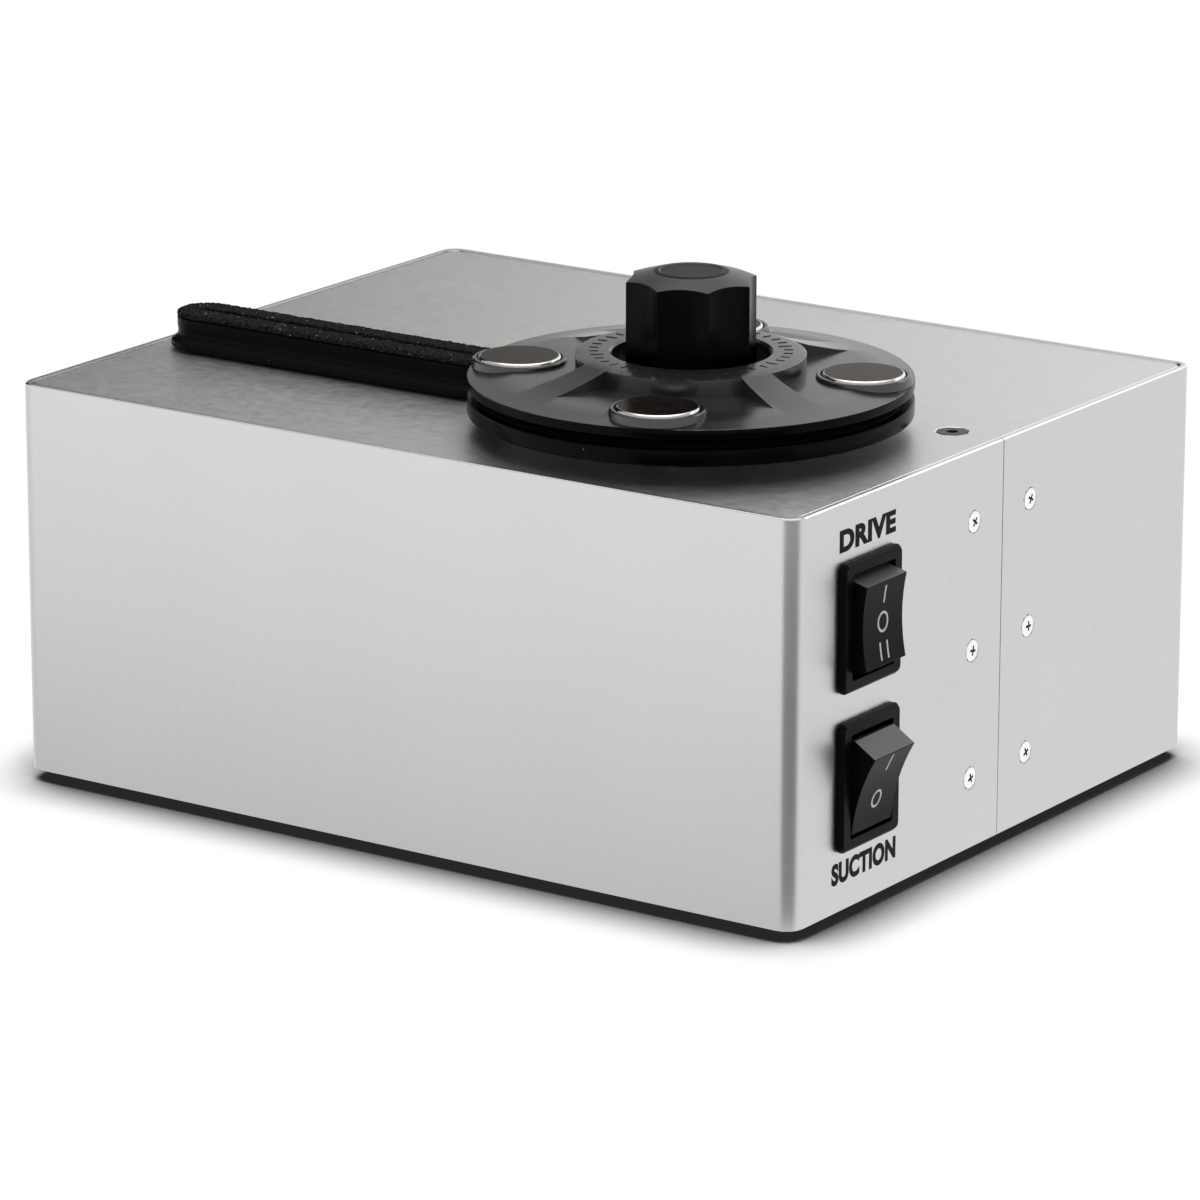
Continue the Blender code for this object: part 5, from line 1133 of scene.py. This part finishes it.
class CLEANER_OT_ring_marks(PieceOperator, bpy.types.Operator):
    """Puts raised ticks on the clamp's ring"""

    bl_idname = "cleaner.ring_marks"
    bl_label = "Ring marks"

    def make(self):
        rise = settings().clamp.mark_height
        centre = Vector((SPINDLE.x, SPINDLE.y, DISC_HIGH.z - 0.00002))
        count = 40
        outer, short_inner, long_inner = 0.0243, 0.0221, 0.0212
        half_width = 0.00022
        marks = []
        for index in range(count):
            angle = FULL_TURN * index / count
            inner = long_inner if index % 5 == 0 else short_inner
            direction = Vector((math.cos(angle), math.sin(angle), 0))
            side = Vector((-direction.y, direction.x, 0)) * half_width
            outline = [
                centre + direction * inner - side, centre + direction * outer - side,
                centre + direction * outer + side, centre + direction * inner + side,
            ]
            marks.append(draw_block("tick", outline, (0, 0, rise)))
        joined = join("ring_marks", marks)
        round_edges(joined, 0.00006, segments=2)
        finish(joined, "clamp", "charcoal")


def join(name, pieces):
    """Joins pieces into one object."""
    deselect_all()
    for piece in pieces:
        piece.select_set(True)
    bpy.context.view_layer.objects.active = pieces[0]
    bpy.ops.object.join()
    joined = bpy.context.object
    joined.name = name
    joined.data.name = name
    return joined


def knob_points(height, radius, hollow, steps=10):
    """Eight hollow flats between sharp corners."""
    points = []
    first_corner = -0.733038
    for index in range(8):
        start = first_corner + FULL_TURN * index / 8
        end = start + FULL_TURN / 8
        middle = (start + end) / 2
        for step in range(steps):
            share = step / steps
            sink = hollow * 4 * share * (1 - share)
            x = radius * (math.cos(start) * (1 - share) + math.cos(end) * share)
            y = radius * (math.sin(start) * (1 - share) + math.sin(end) * share)
            x -= sink * math.cos(middle)
            y -= sink * math.sin(middle)
            points.append(Vector((SPINDLE.x + x, SPINDLE.y + y, height)))
    return points


def is_on_cone(face):
    """Whether a face of the knob is on its shallow cone."""
    return 0.6 < face.normal.z < 0.99


class CLEANER_OT_knob(PieceOperator, bpy.types.Operator):
    """Makes the eight-sided knob with its shallow cone and textured middle"""

    bl_idname = "cleaner.knob"
    bl_label = "Clamp knob"

    def make(self):
        bottom = KNOB_LOW.z
        top = KNOB_HIGH.z
        radius = 0.016
        hollow = 0.0008
        dish, crest, cone_start = 0.0075, 0.0077, 0.0090
        drop = 0.0022
        bore, bore_top = 0.0058, 0.1313
        spare = 0.001
        outline = knob_points(bottom, radius, hollow)
        knob = draw_block("knob_body", outline, (0, 0, top + spare - bottom))
        slope = drop / (radius - crest)
        sunk = top - 0.0002
        below = bottom - spare
        section = [
            (0, sunk), (dish, sunk), (crest, top), (cone_start, sunk),
            (radius + spare, top - drop - slope * spare), (radius + spare, below), (0, below),
        ]
        combine(knob, draw_turned("knob_tool", section, SPINDLE_FOOT, 96), "INTERSECT")
        section = [(0, below), (bore, below), (bore, bore_top), (0, bore_top)]
        combine(knob, draw_turned("bore_tool", section, SPINDLE_FOOT, 48), "DIFFERENCE")
        round_edges(knob, 0.0003)
        finish(knob, "knob", "gloss_black", "clamp_knob")
        # Painted light: the cone's faces take a lighter black than the knob's flats
        coat(knob, "painted_light_cone_black", is_on_cone)
        coat(knob, "satin_black", faces_up)


class CLEANER_OT_platter(PieceOperator, bpy.types.Operator):
    """Makes the platter and its mat as turned pieces"""

    bl_idname = "cleaner.platter"
    bl_label = "Platter"

    def make(self):
        steps = settings().clamp.steps
        rim = (PLATTER_HIGH.x - PLATTER_LOW.x) / 2
        mat_low, mat_high = corners("platter_mat")
        mat_rim = (mat_high.x - mat_low.x) / 2
        seat = mat_rim + CLEARANCE
        recess = mat_low.z - CLEARANCE
        top = PLATTER_HIGH.z
        bottom = PLATTER_LOW.z
        hole = 0.0073
        edge, bow = 0.0005, 0.00015
        section = [
            (hole, recess), (seat, recess), (seat, top),
            (rim - edge, top), (rim - bow, top - bow), (rim, top - edge),
            (rim, bottom + edge), (rim - bow, bottom + bow), (rim - edge, bottom), (hole, bottom),
        ]
        disc = draw_turned("platter_disc", section, SPINDLE_FOOT, steps)
        shade(disc)
        finish(disc, "turntable", "gloss_black", "platter")
        bore = 0.0085
        bevel = 0.0002
        section = [
            (bore, mat_low.z), (mat_rim, mat_low.z), (mat_rim, mat_high.z - bevel),
            (mat_rim - bevel, mat_high.z), (bore, mat_high.z),
        ]
        mat = draw_turned("platter_mat_ring", section, SPINDLE_FOOT, steps)
        shade(mat)
        finish(mat, "turntable", "rubber", "platter_mat")


SWITCHES = (("drive", "drive_toggle"), ("vacuum", "vacuum_toggle"))


def is_upper_flank(face):
    """Whether a face of a rocker looks mostly up."""
    return face.normal.z > 0.75


class CLEANER_OT_switches(PieceOperator, bpy.types.Operator):
    """Makes the two switches with rounded bezels and rockers"""

    bl_idname = "cleaner.switches"
    bl_label = "Switches"

    def make(self):
        edge = settings().switches.edge
        for name, body in SWITCHES:
            node = f"{name}_switch_body"
            bezel = merged_copy(node, f"{name}_bezel")
            round_edges(bezel, edge)
            finish(bezel, "case", "satin_black", node)
            node = f"{name}_rocker"
            rocker = merged_copy(node, f"{name}_rocker_key")
            round_edges(rocker, edge)
            finish(rocker, body, "charcoal", node, look="satin_black")
            # Painted light: the faces that look up take the lighter grey
            coat(rocker, "painted_light_flank_grey", is_upper_flank)


def flat_bar(name, y, z, width, height):
    """A thin upright mark facing +X, drawn in front of the right side."""
    x = CASE_HIGH.x + MARK_DISTANCE
    outline = [
        (x, y - width / 2, z - height / 2), (x, y + width / 2, z - height / 2),
        (x, y + width / 2, z + height / 2), (x, y - width / 2, z + height / 2),
    ]
    bar = draw_face(name, [Vector(point) for point in outline])
    select_everything()
    bpy.ops.mesh.subdivide(number_cuts=6)
    leave()
    return bar


def flat_ring(name, y, z, width, height, stroke):
    """A thin ring mark facing +X, drawn in front of the right side."""
    x = CASE_HIGH.x + MARK_DISTANCE
    angles = [FULL_TURN * step / 40 for step in range(40)]
    outline = [
        Vector((x, y + width / 2 * math.cos(angle), z + height / 2 * math.sin(angle)))
        for angle in angles
    ]
    ring = draw_face(name, outline)
    bpy.ops.mesh.select_mode(type="FACE")
    select_everything()
    bpy.ops.mesh.inset(thickness=stroke)
    bpy.ops.mesh.delete(type="FACE")
    leave()
    return ring


def print_on(mark, target):
    """Lays a flat mark on a piece and gives it a little thickness."""
    height = settings().switches.print_height
    apply_modifier(
        mark, "SHRINKWRAP", target=target, wrap_method="PROJECT", use_project_x=True,
        use_negative_direction=True, use_positive_direction=False, offset=height,
    )
    apply_modifier(mark, "SOLIDIFY", thickness=height, offset=0)
    edit(mark)
    leave_outward()


def finish_marks(name, marks, rocker, body):
    """Joins the marks of one rocker and prints them on it."""
    joined = join(name, marks)
    print_on(joined, bpy.data.objects[rocker])
    finish(joined, body, "satin_black", look="print_white")


def switch_middle(node):
    """The middle of a switch, seen from the side: its y and its z."""
    low, high = corners(node)
    return (low.y + high.y) / 2, (low.z + high.z) / 2


class CLEANER_OT_switch_marks(PieceOperator, bpy.types.Operator):
    """Prints the position marks on the rockers"""

    bl_idname = "cleaner.switch_marks"
    bl_label = "Switch marks"

    def make(self):
        stroke = settings().switches.stroke
        tall = 0.0042
        y, z = switch_middle("drive_switch_body")
        marks = [
            flat_bar("mark_one", y, z + 0.0067, stroke, tall),
            flat_ring("mark_off", y, z, 0.0046, 0.0051, stroke),
            flat_bar("mark_two", y - 0.0015, z - 0.0068, stroke, tall),
            flat_bar("mark_two", y + 0.0015, z - 0.0068, stroke, tall),
        ]
        finish_marks("drive_marks", marks, "drive_rocker_key", "drive_toggle")
        z = switch_middle("vacuum_switch_body")[1]
        marks = [
            flat_bar("mark_one", y, z + 0.0048, stroke, tall),
            flat_ring("mark_off", y, z - 0.0046, 0.0042, 0.0046, stroke),
        ]
        finish_marks("vacuum_marks", marks, "vacuum_rocker_key", "vacuum_toggle")


def printed_word(name, text, width, height, centre):
    """A word in thin print on the right side of the case."""
    deselect_all()
    bpy.ops.object.text_add()
    word = bpy.context.object
    word.name = name
    word.data.body = text
    word.data.size = 0.01
    word.data.offset = 0.0005
    word.data.space_character = 1.06
    word.data.extrude = settings().switches.print_height / 2
    word.data.align_x = "CENTER"
    bpy.ops.object.convert(target="MESH")
    word = bpy.context.object
    ends = [Vector(corner) for corner in word.bound_box]
    low = Vector([min(end[axis] for end in ends) for axis in range(3)])
    high = Vector([max(end[axis] for end in ends) for axis in range(3)])
    middle = (low + high) / 2
    size = Matrix.Diagonal((width / (high.x - low.x), height / (high.y - low.y), 1, 1))
    upright = Matrix(((0, 0, 1, 0), (1, 0, 0, 0), (0, 1, 0, 0), (0, 0, 0, 1)))
    place(word, Matrix.Translation(centre) @ upright @ size @ Matrix.Translation(-middle))
    edit(word)
    leave_merged_outward(1e-7)
    finish(word, "case", "satin_black", look="print_black")


class CLEANER_OT_switch_words(PieceOperator, bpy.types.Operator):
    """Prints a plain word by each switch"""

    bl_idname = "cleaner.switch_words"
    bl_label = "Switch words"

    def make(self):
        sizes = settings().switches
        half = sizes.word_height / 2
        x = CASE_HIGH.x + sizes.print_height / 2
        y = switch_middle("drive_switch_body")[0]
        high = corners("drive_switch_body")[1]
        gap_over, gap_under = 0.0025, 0.0023
        centre = (x, y, high.z + gap_over + half)
        printed_word("upper_word", sizes.upper_word, sizes.upper_width, 2 * half, centre)
        low = corners("vacuum_switch_body")[0]
        centre = (x, y, low.z - gap_under - half)
        printed_word("lower_word", sizes.lower_word, sizes.lower_width, 2 * half, centre)


# Stage

def emptied_tree(holder):
    """The node tree of a material or a world, with nothing in it."""
    holder.use_nodes = True
    holder.node_tree.nodes.clear()
    return holder.node_tree


def show(tree, surface, kind="Material"):
    """Links a surface to the output of a material's or a world's tree."""
    output = add_node(tree, f"Output{kind}")
    tree.links.new(surface, output.inputs["Surface"])


def emission(name, strength):
    """A plain white glowing material for the studio's cards."""
    material = bpy.data.materials.new(name)
    tree = emptied_tree(material)
    glow = add_node(tree, "Emission")
    glow.inputs["Color"].default_value = (1, 1, 1, 1)
    glow.inputs["Strength"].default_value = strength
    show(tree, glow.outputs[0])
    return material


def floor_material():
    """White for the camera and for reflections: a painted contact shadow from ambient occlusion for the
    camera, and painted shade in front of the case for reflections.
    """
    stage = settings().stage
    material = bpy.data.materials.new("floor")
    tree = emptied_tree(material)
    path = add_node(tree, "LightPath")
    # Painted contact shadow: for the camera the floor's glow falls with ambient occlusion under and
    # round the case
    near = add_node(tree, "AmbientOcclusion")
    near.inputs["Distance"].default_value = stage.painted_shadow_reach
    near.samples = 16
    hidden, open_sky, shadow = 0.45, 0.93, 0.02
    seen = spread(tree, near.outputs["AO"], hidden, open_sky, shadow, 1.0)
    # Painted shade for reflections: the floor's glow is darker just in front of the case, brighter
    # farther out and behind its front
    parts = add_node(tree, "SeparateXYZ")
    tree.links.new(object_places(tree), parts.inputs[0])
    front = CASE_LOW.y
    far_front = front - 0.32
    before = spread(tree, parts.outputs["Y"], front, far_front, 0.8, 1.28)
    behind = number(tree, "GREATER_THAN", parts.outputs["Y"], front)
    beside = number(tree, "MULTIPLY", behind, 0.24)
    mirrored = number(tree, "ADD", before, beside)
    strength = add_node(tree, "Mix")
    tree.links.new(path.outputs["Is Camera Ray"], strength.inputs["Factor"])
    tree.links.new(mirrored, strength.inputs["A"])
    tree.links.new(seen, strength.inputs["B"])
    glow = add_node(tree, "Emission")
    tree.links.new(strength.outputs["Result"], glow.inputs["Strength"])
    lit = add_node(tree, "BsdfDiffuse")
    lit.inputs["Color"].default_value = (*stage.floor_colour, 1)
    direct = number(tree, "ADD", path.outputs["Is Camera Ray"], path.outputs["Is Glossy Ray"])
    clear = number(tree, "ADD", direct, path.outputs["Is Transmission Ray"])
    mix = add_node(tree, "MixShader")
    tree.links.new(clear, mix.inputs[0])
    tree.links.new(lit.outputs[0], mix.inputs[1])
    tree.links.new(glow.outputs[0], mix.inputs[2])
    show(tree, mix.outputs[0])
    return material


def add_card(name, outline, material):
    """A studio card that only reflections see."""
    piece = draw_face(name, outline)
    leave()
    piece.data.materials.append(material)
    piece.visible_camera = False
    piece.visible_diffuse = False
    piece.visible_shadow = False
    piece.visible_transmission = False


def grade(material, operation, against, low, high, new_low, new_high):
    """Grades a glow by the distance from a point, or by the place along a direction."""
    tree = material.node_tree
    measure = add_node(tree, "VectorMath", operation)
    measure.inputs[1].default_value = against
    tree.links.new(object_places(tree), measure.inputs[0])
    level = spread(tree, measure.outputs["Value"], low, high, new_low, new_high)
    tree.links.new(level, tree.nodes["Emission"].inputs["Strength"])


def make_flag():
    """A dark flag on the floor before the front right corner, which draws the corner's edge."""
    corner = Vector((CASE_HIGH.x, CASE_LOW.y, 0))
    start, end = math.radians(-95), math.radians(0)
    outer, inner, lift = 0.5, 0.012, 0.0006
    points = arc_points(corner, outer, start, end, 12, lift)
    points += arc_points(corner, inner, end, start, 4, lift)
    material = emission("dark_flag", 1.0)
    grade(material, "DISTANCE", corner, 0.03, 0.26, 0.3, 0.0)
    add_card("corner_flag", points, material)


def make_card():
    """A large card behind the deck, dark to the left and white to the right."""
    across = Vector((0.825, 0.565, 0))
    back = Vector((-0.543, 0.794, 0.274))
    up = Vector((0.155, -0.226, 0.962))
    half_width, below, above = 0.7, 0.16, 0.3
    centre = Vector((0, 0, DECK_TOP)) + back * 0.55 + up * 0.03
    outline = [
        centre - across * half_width - up * below, centre + across * half_width - up * below,
        centre + across * half_width + up * above, centre - across * half_width + up * above,
    ]
    material = emission("graded_card", 1.0)
    grade(material, "DOT_PRODUCT", across, -0.24, 0.17, 0.0, 1.02)
    add_card("graded_card", outline, material)


def make_rim_card():
    """A small bright card high behind the case, which lights its right rim."""
    towards = Vector((0.27, 0.8, 0.53)).normalized()
    centre = Vector((CASE_HIGH.x, 0, DECK_TOP)) + towards
    across = towards.cross(Vector((0, 0, 1))).normalized() * 0.3
    up = across.cross(towards).normalized() * 0.16
    outline = [centre - across - up, centre + across - up, centre + across + up, centre - across + up]
    add_card("rim_card", outline, emission("rim_card", 2.2))


def lamp(name, size, centre, target, power):
    """A soft lamp, aimed at a place."""
    light = bpy.data.lights.new(name, "AREA")
    light.shape = "RECTANGLE"
    light.size = size[0]
    light.size_y = size[1]
    light.energy = power
    holder = add_object(name, light)
    aim = Vector(target) - Vector(centre)
    holder.matrix_world = Matrix.Translation(centre) @ aim.to_track_quat("-Z", "Y").to_matrix().to_4x4()


def make_world():
    """White to the camera; for the rest bright at the horizon, dim above and brighter overhead."""
    world = bpy.data.worlds.new("studio")
    bpy.context.scene.world = world
    tree = emptied_tree(world)
    places = add_node(tree, "TexCoord")
    parts = add_node(tree, "SeparateXYZ")
    tree.links.new(places.outputs["Generated"], parts.inputs[0])
    ramp = add_node(tree, "ValToRGB")
    ramp.color_ramp.elements[0].position = 0.0
    ramp.color_ramp.elements[0].color = (0.95, 0.95, 0.95, 1)
    ramp.color_ramp.elements[1].position = 1.0
    ramp.color_ramp.elements[1].color = (0.75, 0.75, 0.75, 1)
    for position, level in ((0.16, 0.92), (0.36, 0.5), (0.6, 0.35), (0.85, 0.8)):
        element = ramp.color_ramp.elements.new(position)
        element.color = (level, level, level, 1)
    tree.links.new(parts.outputs["Z"], ramp.inputs[0])
    path = add_node(tree, "LightPath")
    colour = mixed_colour(tree, path.outputs["Is Camera Ray"], ramp.outputs[0], (1.0, 1.0, 1.0))
    background = add_node(tree, "Background")
    tree.links.new(colour, background.inputs["Color"])
    show(tree, background.outputs[0], "World")


def make_camera():
    """The photograph's camera: a long lens above the front right corner."""
    data = bpy.data.cameras.new("camera")
    data.lens = CAMERA_LENS
    data.sensor_width = 36
    data.clip_start = 0.05
    data.clip_end = 100
    camera = add_object("camera", data)
    heading = Matrix.Rotation(math.radians(CAMERA_HEADING), 4, "Z")
    tilt = Matrix.Rotation(math.radians(90 - CAMERA_TILT), 4, "X")
    roll = Matrix.Rotation(math.radians(CAMERA_ROLL), 4, "Z")
    camera.matrix_world = Matrix.Translation(CAMERA_PLACE) @ heading @ tilt @ roll
    bpy.context.scene.camera = camera


class CLEANER_OT_stage(PieceOperator, bpy.types.Operator):
    """Makes the white floor, the soft light and the camera"""

    bl_idname = "cleaner.stage"
    bl_label = "Stage"

    def make(self):
        stage = settings().stage
        bpy.context.scene.view_settings.view_transform = "Standard"
        make_world()
        make_camera()
        deselect_all()
        bpy.ops.mesh.primitive_plane_add(size=stage.floor_size)
        floor = bpy.context.object
        floor.name = "floor"
        floor.data.materials.append(floor_material())
        make_flag()
        make_rim_card()
        make_card()
        lamp("overhead", (0.9, 0.9), (-0.1, 0.25, 1.1), (0, 0, 0.05), stage.overhead)


SETTINGS = (
    MetalSettings, ScrewSettings, PadSettings, ClampSettings, SwitchSettings, StageSettings,
    CleanerSettings,
)
OPERATORS = (
    CLEANER_OT_finish_nodes, CLEANER_OT_case, CLEANER_OT_side_screws, CLEANER_OT_deck_screws,
    CLEANER_OT_suction_bar, CLEANER_OT_velvet_pad, CLEANER_OT_clamp_disc, CLEANER_OT_magnets,
    CLEANER_OT_ring_marks, CLEANER_OT_knob, CLEANER_OT_platter, CLEANER_OT_switches,
    CLEANER_OT_switch_marks, CLEANER_OT_switch_words, CLEANER_OT_stage,
)


class CLEANER_PT_panel(bpy.types.Panel):
    """Lists the steps in the sidebar"""

    bl_idname = "CLEANER_PT_panel"
    bl_label = "Record cleaner"
    bl_space_type = "VIEW_3D"
    bl_region_type = "UI"
    bl_category = "Record cleaner"

    def draw(self, context):
        for operator in OPERATORS:
            self.layout.operator(operator.bl_idname)


CLASSES = (*SETTINGS, *OPERATORS, CLEANER_PT_panel)


def register():
    """Registers the classes and the scene's settings."""
    for cls in CLASSES:
        bpy.utils.register_class(cls)
    bpy.types.Scene.record_cleaner = PointerProperty(type=CleanerSettings)


def unregister():
    """Removes the settings and the classes."""
    del bpy.types.Scene.record_cleaner
    for cls in reversed(CLASSES):
        bpy.utils.unregister_class(cls)


def main():
    """Runs every step."""
    register()
    for operator in OPERATORS:
        step = operator.bl_idname.split(".")[1]
        getattr(bpy.ops.cleaner, step)()


if __name__ == "__main__":
    main()
